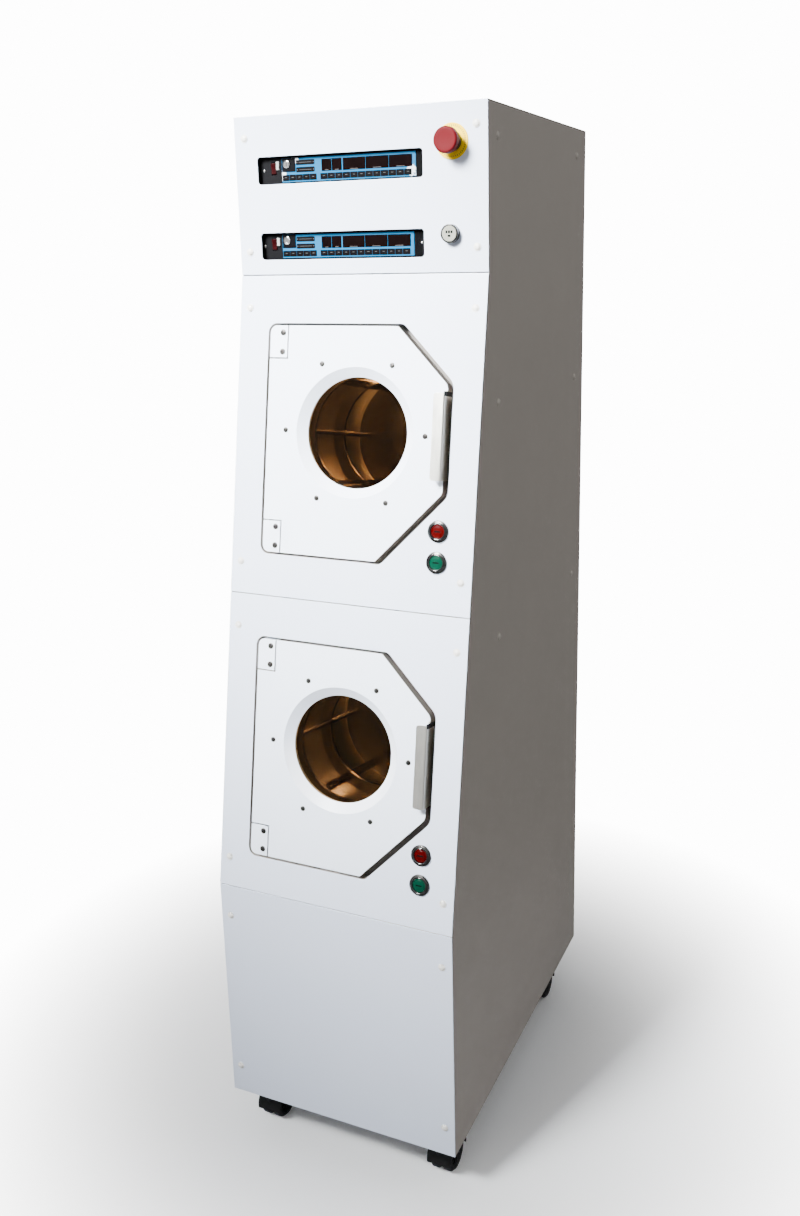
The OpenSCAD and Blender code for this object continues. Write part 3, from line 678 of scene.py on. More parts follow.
def socket_screw(r, h):
    """Button-head screw with a six-sided socket, standing on its origin."""
    socket, floor, steps = 0.52 * r, 0.35 * h, 24
    side = math.pi / 3
    bm = bmesh.new()

    def ring(radius, z):
        return [bm.verts.new(polar(radius, a, z) * MM) for a in turns(steps)]

    def six(radius, z):
        """Points on a hexagon in the same directions as a ring's."""
        flat = radius * math.cos(side / 2)
        reach = [flat / math.cos(a % side - side / 2) for a in turns(steps)]
        return [bm.verts.new(polar(d, a, z) * MM) for d, a in zip(reach, turns(steps))]

    head = ((1.0, 0), (1.0, 0.35), (0.93, 0.66), (0.78, 0.88), (0.62, 1.0))
    rows = [ring(wide * r, high * h) for wide, high in head] + [six(socket, h), six(socket, floor)]
    bridge(bm, rows)
    bm.faces.new(rows[-1])
    bm.faces.new(rows[0][::-1])
    return closed(bm, "socket_screw")


# --- sizes and colours -------------------------------------------------------


def colour_value(name, text, default):
    return FloatVectorProperty(
        name=name, description=text, subtype="COLOR", size=3, min=0, max=1, default=default
    )


def length_value(name, text, default):
    return FloatProperty(
        name=name, description=text, unit="LENGTH", min=0, default=default, precision=5
    )


def power_value(name, text, default):
    return FloatProperty(name=name, description=text, unit="POWER", min=0, default=default)


def share_value(name, text, default):
    return FloatProperty(
        name=name, description=text, subtype="FACTOR", min=0, max=1, default=default
    )


class CabinetLook(bpy.types.PropertyGroup):
    """Sheet metal of the cabinet."""

    edge: length_value("Edge radius", "Rounding of the sheet edges", 0.0009)
    front: colour_value("Front paint", "Paint of the front panels", (0.66, 0.715, 0.83))
    # Side, top and rear panels: partly their own warm grey, partly painted shade of the side that faces
    # away from the key light.
    side: colour_value("Side paint", "Paint of the side, top and rear panels", (0.42, 0.385, 0.345))
    cap: colour_value("Screw caps", "Plastic of the domed caps", (0.74, 0.72, 0.67))
    # Dark taupe of the faces inside the door openings: painted shade of the door gaps, on the white
    # chamber panels.
    jamb: colour_value("Door jamb", "Faces inside the door openings, darkened as painted shade", (0.26, 0.226, 0.196))
    # Caps on the sides: the same plastic as the front caps, darkened as painted shade of the sides that
    # face away from the key light.
    side_cap: colour_value("Side caps", "Domed caps on the sides, darkened as painted shade", (0.50, 0.47, 0.42))
    rear_screw: length_value("Rear screw radius", "Head radius of the rear panel's screws", 0.0042)


class DoorLook(bpy.types.PropertyGroup):
    """Doors, windows and handles."""

    edge: length_value("Edge radius", "Rounding of the door's edges", 0.0011)
    white: colour_value("Door finish", "Colour of the door panels", (0.79, 0.85, 0.95))
    # Dark brown-grey of the door's own side faces: painted shade in the gaps round the doors.
    rim: colour_value("Door rim", "Door side faces, darkened as painted shade in the gaps", (0.17, 0.148, 0.128))
    tint: colour_value("Window tint", "What the window lets through", (0.80, 0.70, 0.56))
    haze: share_value("Window haze", "Share of the pane that hides what is behind it", 0.03)
    screw_circle: length_value("Clamp screw circle", "Radius of the circle of clamp screws", 0.1205)
    screw_count: IntProperty(
        name="Clamp screws", description="Number of clamp screws on each door", min=3, default=6
    )
    screw: length_value("Screw radius", "Head radius of the clamp and hinge screws", 0.0041)
    bend: length_value("Handle bend", "Inner bend radius of the handle's sheet", 0.0009)


class ControlLook(bpy.types.PropertyGroup):
    """Controllers, buttons and the emergency stop."""

    blue: colour_value("Overlay blue", "Printed face of the controllers", (0.002, 0.092, 0.205))
    red: colour_value("Red lens", "Lens of the red buttons", (0.045, 0.0001, 0.0003))
    green: colour_value("Green lens", "Lens of the green buttons", (0.0002, 0.034, 0.018))
    ivory: colour_value("Power lens", "Lens of the power button", (0.30, 0.30, 0.25))
    stop: colour_value("Emergency stop", "Head of the emergency stop", (0.075, 0.0002, 0.0022))
    plate: colour_value("Stop plate", "Disc behind the emergency stop", (0.95, 0.62, 0.0002))


class RunningLook(bpy.types.PropertyGroup):
    """Chambers, rotors and casters."""

    # Warm gold of the bowls and spray tubes: partly the steel's own tone, partly painted amber light from
    # inside the chambers.
    bowl: colour_value("Bowl steel", "Stainless steel of the bowls, tinted with painted amber light", (0.80, 0.68, 0.52))
    # Dark brown of the rotors and their shafts: painted shade, as the rotor rings lie in shade inside the
    # bowls.
    rotor: colour_value("Rotor steel", "Dark coated steel of the rotor rings", (0.16, 0.13, 0.10))
    edge: length_value("Caster rounding", "Rounding of the caster hoods", 0.0022)


class StageLook(bpy.types.PropertyGroup):
    """Floor and studio light."""

    floor: colour_value("Floor", "Colour of the floor", (0.93, 0.93, 0.93))
    bounce: colour_value("Floor bounce", "Colour of light off the floor", (0.22, 0.22, 0.235))
    key: power_value("Key light", "Power of the main softbox", 56)
    fill: power_value("Fill light", "Power of the side softbox", 18)
    glow: power_value("Chamber light", "Power of the warm light in each chamber", 5.0)
    sky: share_value("Surroundings", "Brightness of the surroundings", 0.8)


# --- operators ---------------------------------------------------------------


class Build:
    """What the build operators share."""

    bl_options = {"REGISTER", "UNDO"}

    def execute(self, context):
        self.build(context.scene)
        return {"FINISHED"}


class DRYER_OT_panels(Build, bpy.types.Operator):
    """Front, side, top and rear sheets with rounded edges and powder coat"""

    bl_idname = "dryer.panels"
    bl_label = "Cabinet panels"

    def build(self, scene):
        look = scene.dryer_cabinet
        edge = look.edge / MM
        front = painted("front paint", look.front, 0.34, coat=0.15)
        # Greyer than the front: partly the panels' own grey, partly painted shade of the side away from
        # the key light.
        side = painted("side paint", look.side, 0.46, peel=0.0002, mottle=0.05, grain=520.0)
        # The faces inside the door openings get this dark taupe: painted shade of the door gaps.
        jamb = painted("jamb paint", look.jamb, 0.5)
        opening, mouth = 201.0, 60.0
        for node in ("kick_panel", "control_fascia"):
            refined(node, edge, front, "white_sheet")
        for level in LEVELS:
            inside = edge_faces(CHAMBER[level], opening, mouth)
            refined(f"{level}_chamber_panel", edge, front, "white_sheet", inner=jamb, where=inside)
        for node in ("left_side_panel", "right_side_panel", "rear_panel", "top_panel"):
            refined(node, edge * 0.7, side, "grey_sheet")


class DRYER_OT_caps(Build, bpy.types.Operator):
    """Domed caps over the panel screws"""

    bl_idname = "dryer.caps"
    bl_label = "Screw caps"

    def build(self, scene):
        white = moulded("cap plastic", scene.dryer_cabinet.cap, 0.35, dust=0.12, coat=0.3)
        # The caps on the sides get a darker copy of the front caps' plastic: painted shade.
        grey = moulded("side cap plastic", scene.dryer_cabinet.side_cap, 0.45, dust=0.12)
        fronts, flanks = [], []
        for points in self.islands("panel_screws"):
            normal = self.facing(points)
            heights = [normal.dot(p) for p in points]
            centre = sum(extent(points), Vector((0, 0, 0))) / 2
            centre += normal * (min(heights) - normal.dot(centre))
            turn = normal.to_track_quat("Z", "Y").to_matrix().to_4x4()
            turn.translation = centre
            (flanks if abs(normal.x) > 0.5 else fronts).append(turn)
            r = max((p - centre - normal * normal.dot(p - centre)).length for p in points) / MM
            h = (max(heights) - min(heights)) / MM
        brim, dome = 0.8, [math.radians(a) for a in range(0, 90, 15)]
        profile = [(0, 0), (r, 0)] + bend((r - 0.5, 0.45), 0.5, 0, 80, 3) + [(r - 1.1, 0.75)]
        profile += [((r - 1.3) * math.cos(a), brim + (h - brim) * math.sin(a)) for a in dome]
        cap = lathe(profile + [(0, h)], 32)
        for name, places, finish, hidden in (
            ("screw_caps", fronts, white, ["panel_screws"]),
            ("side_screw_caps", flanks, grey, ()),
        ):
            piece(name, scatter(cap, places, finish), [finish], "cabinet", "cap_plastic", hidden)

    @staticmethod
    def islands(node):
        """Points of each separate solid of a CAD node."""
        bm = bmesh.new()
        bm.from_mesh(NODES[node].data)
        bmesh.ops.remove_doubles(bm, verts=bm.verts, dist=CAD_WELD)
        left, groups = set(bm.verts), []
        while left:
            stack, group = [left.pop()], []
            while stack:
                v = stack.pop()
                group.append(v.co.copy())
                for e in v.link_edges:
                    w = e.other_vert(v)
                    if w in left:
                        left.remove(w)
                        stack.append(w)
            groups.append(group)
        bm.free()
        return sorted(groups, key=lambda g: tuple(round(c, 4) for c in sum(g, Vector()) / len(g)))

    @staticmethod
    def facing(points):
        """The face of the cabinet that a cap sits on."""
        lean = CHAMBER["lower"].matrix.to_3x3() @ Vector((0, 0, 1))
        normals = [Vector((1, 0, 0)), Vector((-1, 0, 0)), Vector((0, -1, 0)), lean]
        spread = lambda n: max(n.dot(p) for p in points) - min(n.dot(p) for p in points)
        middle = sum(points, Vector()) / len(points)
        thin, tolerance = sorted(normals, key=spread)[:2], 1e-4
        same = [n for n in thin if abs(spread(n) - spread(thin[0])) < tolerance]
        return max(same, key=lambda n: n.dot(middle))


class DRYER_OT_rear(Build, bpy.types.Operator):
    """Screws of the rear panel"""

    bl_idname = "dryer.rear"
    bl_label = "Rear screws"

    def build(self, scene):
        steel = brushed("screw steel", (0.62, 0.62, 0.61), 0.3)
        low, high = REAR.span("rear_panel")
        inset, rows = 12.0, 7
        xs = (low.x + inset, high.x - inset)
        ys = [low.y + inset + (high.y - low.y - 2 * inset) * k / (rows - 1) for k in range(rows)]
        places = [REAR.at(x, y) for x in xs for y in ys]
        places += [REAR.at(0, y) for y in (ys[0], ys[-1])]
        mesh = scatter(socket_screw(scene.dryer_cabinet.rear_screw / MM, 2.2), places, steel)
        piece("rear_screws", mesh, [steel], "cabinet", "bearing_steel")


class DRYER_OT_frame_parts(Build, bpy.types.Operator):
    """Base pan, posts, drain, inlets, gland, valves and motors"""

    bl_idname = "dryer.frame_parts"
    bl_label = "Frame and services"

    def build(self, scene):
        drain = moulded("drain plastic", (0.72, 0.71, 0.68), 0.35, 900.0)
        for node, edge, finish, slot in (
            ("base_pan", 0.5, zinc("galvanised sheet"), "galvanised"),
            ("corner_posts", 0.8, painted("frame paint", (0.25, 0.26, 0.27), 0.5), "frame_steel"),
            ("drain_pipe", 0.8, drain, "drain_plastic"),
            ("fluid_inlets", 0.6, brushed("inlet steel", (0.66, 0.65, 0.62), 0.25), "stainless"),
            ("power_gland", 0.6, moulded("gland plastic", (0.03, 0.03, 0.032)), "black_plastic"),
            ("solenoid_valves", 1.2, cast("valve brass", (0.62, 0.45, 0.18), 0.9, 0.35), "valve_brass"),
            ("drive_motors", 1.5, cast("motor paint", (0.08, 0.10, 0.11), 0.2, 0.45), "motor_paint"),
            ("bearing_housings", 1.0, cast("housing aluminium", (0.55, 0.56, 0.57)), "housing_aluminium"),
            ("rotor_bearings", 0.6, brushed("bearing steel", (0.7, 0.7, 0.7), 0.2), "bearing_steel"),
        ):
            refined(node, edge, finish, slot)


class DRYER_OT_chambers(Build, bpy.types.Operator):
    """Process bowls, rotors, shafts and spray tubes"""

    bl_idname = "dryer.chambers"
    bl_label = "Chambers"

    def build(self, scene):
        look = scene.dryer_running
        lean = -math.asin(CHAMBER["lower"].matrix[2][2])
        # The bowls' gold tint is partly painted amber light from inside the chambers.
        bowl = brushed("bowl steel", look.bowl, 0.22, (0.12, 1, 1), 420.0, 0.00003, lean)
        # The rotors and shafts are darkened as painted shade inside the bowls.
        rotor = brushed("rotor steel", look.rotor, 0.2, (1, 0.2, 1), 500.0, 0.00002, lean)
        # The bowl's forward faces at the bottom of the door gaps get a still darker taupe: painted shade.
        flange = painted("flange finish", times(scene.dryer_cabinet.jamb, 0.6), 0.6)
        for level in LEVELS:
            place = CHAMBER[level]
            front = flange_faces(place, -place.span(f"{level}_process_bowl")[1].z)
            refined(f"{level}_process_bowl", 0.6, bowl, "stainless", inner=flange, where=front)
            for node in (f"{level}_rotor", f"{level}_rotor_shaft"):
                refined(node, 0.9, rotor, "rotor_steel")
        refined("spray_manifolds", 0.5, bowl, "stainless")


class DRYER_OT_doors(Build, bpy.types.Operator):
    """Door panels, windows, clamp rings, seals and hinges"""

    bl_idname = "dryer.doors"
    bl_label = "Doors"

    def build(self, scene):
        look = scene.dryer_doors
        edge, clamp_reach = look.edge / MM, 118.0
        white = painted("door finish", look.white, 0.32, coat=0.2)
        glass = smoked_glass("window glass", look.tint, look.haze)
        clamp = brushed("clamp steel", (0.62, 0.61, 0.59), 0.3)
        # The door's side faces get this dark brown-grey: painted shade in the door gaps.
        edge_shade = moulded("door rim strip", look.rim, 0.5, 1500.0, 0.00002, 0.02, gloss=0.2)
        rubber = moulded("seal rubber", (0.035, 0.034, 0.033), 0.6, 1500.0)
        for level in LEVELS:
            rim = edge_faces(CHAMBER[level], beyond=clamp_reach)
            refined(f"{level}_door_panel", edge, white, "door_white", 3, inner=edge_shade, where=rim)
            refined(f"{level}_window_clamp", 0.6, clamp, "stainless")
            refined(f"{level}_door_seal", 1.5, rubber, "seal_rubber", 3)
            refined(f"{level}_door_window", 0.5, glass, "window_glass")
        block = moulded("block plastic", look.white, 0.38, 1800.0, 0.00004, 0.03)
        refined("hinge_blocks", edge, block, "block_plastic", 3)
        refined("hinge_pins", 0.4, brushed("pin steel", (0.66, 0.66, 0.65), 0.2), "bearing_steel")


class DRYER_OT_door_screws(Build, bpy.types.Operator):
    """Socket screws of the window clamps and the hinge blocks"""

    bl_idname = "dryer.door_screws"
    bl_label = "Door screws"

    def build(self, scene):
        look = scene.dryer_doors
        steel = brushed("door screw steel", (0.055, 0.05, 0.046), 0.35)
        head = socket_screw(look.screw / MM, 1.7)
        sunk, from_edge, from_ends, hinge_places = -0.1, 22.7, (11, 41), []
        for level in LEVELS:
            place = CHAMBER[level]
            circle = [polar(look.screw_circle / MM, a) for a in turns(look.screw_count)]
            mesh = scatter(head, [place.at(p.x, p.y, sunk) for p in circle], steel, seed=5)
            piece(f"{level}_clamp_screws", mesh, [steel], f"{level}_door", "stainless")
            low, high = place.span(f"{level}_door_panel")
            for v in [low.y + d for d in from_ends] + [high.y - d for d in from_ends]:
                hinge_places.append(place.at(low.x + from_edge, v, sunk))
        mesh = scatter(socket_screw(look.screw / MM * 1.15, 1.6), hinge_places, steel, seed=8)
        piece("hinge_screws", mesh, [steel], "cabinet", "stainless")


class DRYER_OT_handles(Build, bpy.types.Operator):
    """Bent stainless pulls on the door edges"""

    bl_idname = "dryer.handles"
    bl_label = "Door handles"

    def build(self, scene):
        steel = brushed("handle steel", (0.80, 0.78, 0.70), 0.34, (1, 1, 0.04), 260.0, 0.00001)
        # Dark block at the top of each pull: painted shade, standing in for the dark notch there.
        black = moulded("latch plastic", (0.002, 0.002, 0.002), 0.45, dust=0.0, gloss=0.06)
        for level in LEVELS:
            place, handle = CHAMBER[level], f"{level}_door_handle"
            low, high = place.span(handle)
            mesh = self.pull(low, high, scene.dryer_doors.bend / MM)
            mesh.transform(place.matrix)
            piece(f"{level}_pull", mesh, [steel], f"{level}_door", "stainless", [handle])
            # The dark block fills the notch at the top of the pull: painted shade; a small steel pin sits
            # beside it.
            outline = rounded_box(high.x - 1.9, high.x + 0.8, high.y - 4.5, high.y + 2.5, 0.6)
            pad = softened(prism(outline, low.z, high.z - 0.6), 0.0004)
            pin = lathe([(0, 0), (1.5, 0), (1.5, 1.6), (1.1, 2.2), (0, 2.3)], 24)
            parts = [(pad, place.matrix, 0), (pin, place.at(high.x - 3.4, high.y + 3, -0.1), 1)]
            piece(f"{level}_latch_pad", joined(parts), [black, steel], f"{level}_door", "black_plastic")

    @staticmethod
    def pull(low, high, inner):
        """The sheet's middle line runs up the door's edge and turns over its face."""
        sheet, corner, straight = 2.0, 4.0, 8
        r = inner + sheet / 2
        x, top, reach = high.x - sheet / 2, high.z - sheet / 2, low.x
        line = [(x, low.z), (x, low.z + straight), (x, top - r)]
        line += bend((x - r, top - r), r, 0, 90, 8)[1:] + [(x - r - 3, top)]
        for a in (90, 70, 50, 30, 15, 0):
            line.append((reach + corner * (1 - math.cos(math.radians(a))), top))
        half, middle = (high.y - low.y) / 2, (high.y + low.y) / 2
        bm = bmesh.new()
        rows = []
        for u, z in line:
            into = max(0.0, reach + corner - u) if z == top else 0.0
            cut = corner - math.sqrt(max(0.0, corner**2 - into**2))
            across = [-half + cut, -half * 0.6, 0, half * 0.6, half - cut]
            rows.append([bm.verts.new(Vector((u, middle + a, z)) * MM) for a in across])
        for a, b in zip(rows, rows[1:]):
            for k in range(len(a) - 1):
                bm.faces.new((a[k], b[k], b[k + 1], a[k + 1]))
        bmesh.ops.recalc_face_normals(bm, faces=bm.faces)
        obj = working(mesh_of(bm, "pull"))
        thick = obj.modifiers.new("Thickness", "SOLIDIFY")
        thick.thickness, thick.offset = sheet * MM, 0
        bevel = obj.modifiers.new("Round", "BEVEL")
        bevel.width, bevel.segments, bevel.angle_limit = 0.0004, 2, math.radians(50)
        return plain_mesh(obj)


class DRYER_OT_buttons(Build, bpy.types.Operator):
    """Chamber buttons, power button and all bezels"""

    bl_idname = "dryer.buttons"
    bl_label = "Buttons"

    def build(self, scene):
        look = scene.dryer_controls
        chrome = brushed("bezel chrome", (0.13, 0.126, 0.122), 0.16, lines=260.0, depth=0.00001)
        dark = cast("bezel dark chrome", (0.055, 0.053, 0.050), 0.9, 0.28)
        shades = {c: lens_plastic(f"{c} lens", getattr(look, c)) for c in ("red", "green")}
        mark = moulded("lens mark", (0.001, 0.003, 0.003), 0.5, dust=0.0, gloss=0.04)
        parts = []
        for level in LEVELS:
            place = CHAMBER[level]
            for colour in shades:
                node = f"{level}_{colour}_button"
                u, v, r, foot, top = place.round(node)
                parts += self.bezel(place, u, v, r, top)
                lens = lathe(self.lens_profile(r, top, foot))
                bar = pads(mark, 1, 1, (1, 1), (r * 0.95, r * 0.2), r * 0.08, 0.3)
                cap = joined([(lens, place.at(u, v), 0), (bar, place.at(u, v, top + 0.28), 1)])
                slot = f"{colour}_lens"
                finishes = [shades[colour], mark]
                piece(f"{level}_{slot}", cap, finishes, body_of(node), slot, [node])
        parts.append(self.power(look.ivory, mark))
        u, v, r, *_ = FASCIA.round("estop_plunger")
        plate = FASCIA.span("estop_disc")[1].z
        bore, inner, outer, back, front = r + 0.3, 14, 15, -38, 7
        collar = [(bore, back), (inner, back), (inner, plate - 0.2), (outer, plate - 0.2)]
        collar += [(outer, 6.4)] + bend((outer - 0.8, 6.2), 0.8, 0, 90, 3)
        collar += [(bore, front), (bore, back)]
        parts.append((lathe(collar), FASCIA.at(u, v), 1))
        finishes = [chrome, dark]
        piece("button_bezels", joined(parts), finishes, "cabinet", "chrome_trim", ["switch_bezels"])

    @staticmethod
    def lens_profile(r, top, foot):
        """Slightly domed lens with a groove near its rim, on a stem."""
        stem, base, dome = 4.0, top - 6.0, [math.radians(a) for a in range(10, 90, 20)]
        return (
            [(0, foot), (stem, foot), (stem, base), (r, base), (r, top - 0.9)]
            + bend((r - 0.6, top - 0.9), 0.6, 0, 80, 3)
            + [(r - 1.5, top - 0.25), (r - 2.0, top - 0.5), (r - 2.5, top - 0.2)]
            + [((r - 2.6) * math.cos(a), top - 0.1 + 0.5 * math.sin(a)) for a in dome]
            + [(0, top + 0.42)]
        )

    @staticmethod
    def bezel(place, u, v, r, top):
        """Dark outer ring and bright inner ring of a push button."""
        bore, rim, outer, inner, barrel, back = r + 0.3, top + 0.8, r + 6.2, r + 2.5, 14, -26
        dark = [(bore, back), (barrel, back), (barrel, 0), (outer, 0), (outer, 1.0)]
        dark += bend((outer - 1.2, 1.6), 1.2, 0, 60, 4) + [(r + 3.2, rim - 0.4)]
        dark += [(r + 2.6, rim - 1.0), (r + 2.6, 0.2), (bore, 0.2), (bore, back)]
        bright = [(inner, 0.1), (inner, rim - 0.9)] + bend((inner - 1.0, rim - 0.9), 1.0, 10, 150, 6)
        bright += [(bore, rim - 1.4), (bore, 0.1), (inner, 0.1)]
        return [(lathe(dark), place.at(u, v), 1), (lathe(bright), place.at(u, v), 0)]

    @staticmethod
    def power(colour, mark):
        """Makes the ivory lens and returns its tall bezel."""
        # The power lens also gives off a little light of its own: painted light.
        ivory = lens_plastic("power lens", colour, 0.05)
        u, v, r, foot, top = FASCIA.round("power_button")
        bore, outer, rim, barrel, back, stem = r + 0.3, r + 2.3, top + 0.4, 12, -26, 4
        ring = [(bore, back), (barrel, back), (barrel, 0), (outer, 0), (outer, 0.8)]
        ring += [(outer - 0.5, 1.3), (outer - 0.5, 2.0), (outer, 2.6), (outer, rim - 1.4)]
        ring += bend((outer - 1.0, rim - 1.0), 1.0, 0, 100, 5) + [(bore, rim - 0.9), (bore, back)]
        lens = [(0, foot), (stem, foot), (stem, top - 4), (r, top - 4), (r, top - 0.6)]
        lens += bend((r - 0.6, top - 0.6), 0.6, 0, 85, 3) + [(r - 1.4, top), (0, top)]
        dots = pads(mark, 3, 1, (r * 0.36, 1), (r * 0.26, r * 0.34), r * 0.05, 0.2)
        bar = pads(mark, 1, 1, (1, 1), (r * 0.4, r * 0.26), r * 0.06, 0.2)
        parts = [(lathe(lens), FASCIA.at(u, v), 0)]
        parts.append((dots, FASCIA.at(u, v + r * 0.22, top - 0.02), 1))
        parts.append((bar, FASCIA.at(u, v - r * 0.28, top - 0.02), 1))
        body = body_of("power_button")
        piece("power_lens", joined(parts), [ivory, mark], body, "ivory_lens", ["power_button"])
        return lathe(ring), FASCIA.at(u, v), 1


class DRYER_OT_estop(Build, bpy.types.Operator):
    """Emergency stop: plate with marks, plunger and mushroom head"""

    bl_idname = "dryer.estop"
    bl_label = "Emergency stop"

    def build(self, scene):
        look = scene.dryer_controls
        yellow = moulded("stop plate yellow", look.plate, 0.5, 1200.0, 0.00003, 0.01, gloss=0.1)
        red = moulded("stop head red", look.stop, 0.5, 1500.0, 0.00003, 0.0, gloss=0.1)
        ink = moulded("plate ink", (0.05, 0.04, 0.02), 0.5)
        u, v, r, _, t = FASCIA.round("estop_disc")
        inner, chamfer, tick_count = 14.0, 0.4, 44
        disc = [(inner, 0), (r, 0), (r, t - chamfer), (r - chamfer, t), (inner, t), (inner, 0)]
        ticks = ring_bars(ink, tick_count, r - 3.6, 2.6, 0.8, 0.16)
        mesh = joined([(lathe(disc, 96), FASCIA.at(u, v), 0), (ticks, FASCIA.at(u, v, t), 1)])
        piece("stop_plate", mesh, [yellow, ink], "cabinet", "estop_yellow", ["estop_disc"])
        plunger = moulded("plunger plastic", (0.06, 0.06, 0.06), 0.45)
        refined("estop_plunger", 0.4, plunger, "plunger_plastic")
        _, _, r, base, top = FASCIA.round("estop_head")
        pin, bore = 4.2, base + 8.2
        head = [(0, bore), (pin, bore), (pin, base), (r * 0.5, base), (r - 3, base + 3)]
        head += [(r - 0.3, base + 5.2), (r, base + 6), (r, top - 4.2)]
        head += bend((r - 3.4, top - 3.6), 3.4, 0, 80, 8)
        head += [(r - 6, top - 0.25), (r - 9, top - 0.42), (0, top - 0.5)]
        mesh = lathe(head, 96)
        mesh.transform(FASCIA.at(u, v))
        piece("stop_head", mesh, [red], body_of("estop_head"), "estop_red", ["estop_head"])


class DRYER_OT_controllers(Build, bpy.types.Operator):
    """Controller faces: cases, overlays, windows, keys, rockers and key locks"""

    bl_idname = "dryer.controllers"
    bl_label = "Controllers"

    def build(self, scene):
        look = scene.dryer_controls
        case = moulded("case plastic", (0.002, 0.002, 0.0025), 0.5, 1800.0, 0.00004, 0.001, gloss=0.05)
        pane = self.display("display window")
        key = moulded("key print", (0.001, 0.001, 0.0014), 0.4, 1600.0, 0.00002, 0.0, gloss=0.04)
        pale = moulded("pale print", (0.05, 0.05, 0.05), 0.4, gloss=0.2)
        tab = moulded("grey tab", (0.26, 0.255, 0.23), 0.45)
        steel = brushed("lock steel", (0.72, 0.71, 0.69), 0.2)
        refined("controller_cases", 0.5, case, "black_plastic")
        refined("controller_overlays", 0.3, self.overlay("overlay film", look.blue), "overlay_blue")
        face = FASCIA.span("controller_overlays")[1].z
        printed, panes, screws, recess = [], [], [], -1.2
        screw_x = {"lower": (5.2, 276.0), "upper": (5.2,)}
        # Pads: finish, columns, rows, pitch, size, corner, thickness and centre, in millimetres.
        key_row = (12.75, 1), (12.3, 8.8), 0.4, 0.35
        side_row = (12.0, 1), (11.6, 8.8), 0.4, 0.35
        rows = [
            (key, 12, 1, *key_row, (180.6, -11.3)),
            (pale, 12, 1, key_row[0], (3.6, 0.6), 0.2, 0.06, (180.6, -10.6, 0.35)),
            (key, 5, 1, *side_row, (67.8, -11.3)),
            (pale, 5, 1, side_row[0], (3.6, 0.6), 0.2, 0.06, (67.8, -10.8, 0.35)),
            (key, 1, 2, (1, 10.6), (32.5, 7.4), 1.6, 0.3, (78.6, 5.1)),
            (pale, 1, 2, (1, 10.6), (22.0, 0.5), 0.2, 0.06, (78.6, 5.1, 0.3)),
            (pale, 2, 2, (28.6, 10.6), (1.5, 1.5), 0.6, 0.08, (78.6, 5.1, 0.3)),
            (case, 5, 1, (2.2, 1), (1.0, 37.0), 0.3, 0.8, (270.0, 0, recess)),
        ]
        for level in LEVELS:
            u, v, *_ = FASCIA.round(f"{level}_rocker")
            left, middle = u - 22.4, v - 3.0
            at = lambda x, y, z=0.0: FASCIA.at(left + x, middle + y, face + z)
            for x, n, w, pitch in ((124.1, 2, 16.9, 17.5), (200.5, 3, 37.8, 38.4)):
                panes.append((pads(pane, n, 1, (pitch, 1), (w, 17.6), 0.4, 0.3), at(x, 4.9), 0))
                line = pads(pale, n, 1, (pitch, 1), (w * 0.36, 0.7), 0.2, 0.06)
                printed.append((line, at(x, -2.4, 0.3), 1))
            for finish, *sizes, spot in rows:
                printed.append((pads(finish, *sizes), at(*spot), int(finish is pale)))
            printed.append((self.frame_plate(), at(49.6, 7.2), 0))
            tab_box = softened(prism(rounded_box(27.8, 32.6, 1.0, 13.0, 0.6), 0, 2.6), 0.0003)
            printed.append((tab_box, at(0, 0, recess), 2))
            screws += [at(x, 0.5, recess) for x in screw_x[level]]
            self.lock(level, steel)
            self.rocker(level)
        piece("controller_windows", joined(panes), [pane], "cabinet", "black_plastic")
        piece("controller_keys", joined(printed), [key, pale, tab], "cabinet", "black_plastic")
        mesh = scatter(socket_screw(2.1, 1.3), screws, steel, seed=2)
        piece("controller_screws", mesh, [steel], "cabinet", "bearing_steel")

    @staticmethod
    def frame_plate():
        """Black square round the key lock, with a round hole for it."""
        bm = bmesh.new()
        outline, centre, thick = rounded_box(-11.8, 11.8, -10.0, 10.0, 0.8), (-3.6, 1.3), 0.3
        hole = bend(centre, 5.4, 0, 360, len(outline))[:-1]
        outline.sort(key=lambda p: math.atan2(p[1], p[0]))
        hole.sort(key=lambda p: math.atan2(p[1] - centre[1], p[0] - centre[0]))
        rows = []
        for ring, z in ((hole, 0), (outline, 0), (outline, thick), (hole, thick)):
            rows.append([bm.verts.new(Vector((x, y, z)) * MM) for x, y in ring])
        bridge(bm, rows + rows[:1])
        return closed(bm, "lock_plate")

    @staticmethod
    def lock(level, steel):
        """Round key lock: a fixed ring and the plug that turns."""
        node = f"{level}_key_switch"
        u, v, r, *_ = FASCIA.round(node)
        bore, outer = r + 0.15, 6.0
        ring = [(bore, -1), (outer, -1), (outer, 1.2)] + bend((outer - 0.6, 1.2), 0.6, 0, 90, 3)
        mesh = lathe(ring + [(r + 0.9, 1.5), (bore, 1.1), (bore, -1)], 48)
        mesh.transform(FASCIA.at(u, v, FASCIA.span("controller_overlays")[1].z))
        piece(f"{level}_lock_ring", mesh, [steel], "cabinet", "chrome_trim")
        refined(node, 0.3, steel, "chrome_trim")

    @staticmethod
    def rocker(level):
        """Rocker switch with a worn red face."""
        f = Finish(f"{level} rocker red")
        wear = f.ramp(f.noise(160.0, 4.0, 0.6), 0.45, 0.7)
        red = f.mix(0.4 * wear, (0.012, 0.0002, 0.0006), (0.03, 0.002, 0.002))
        made = f.surface(Base_Color=red, Roughness=0.35 + 0.1 * wear, Specular_IOR_Level=0.08)
        refined(f"{level}_rocker", 0.5, made, "red_rocker", 3)

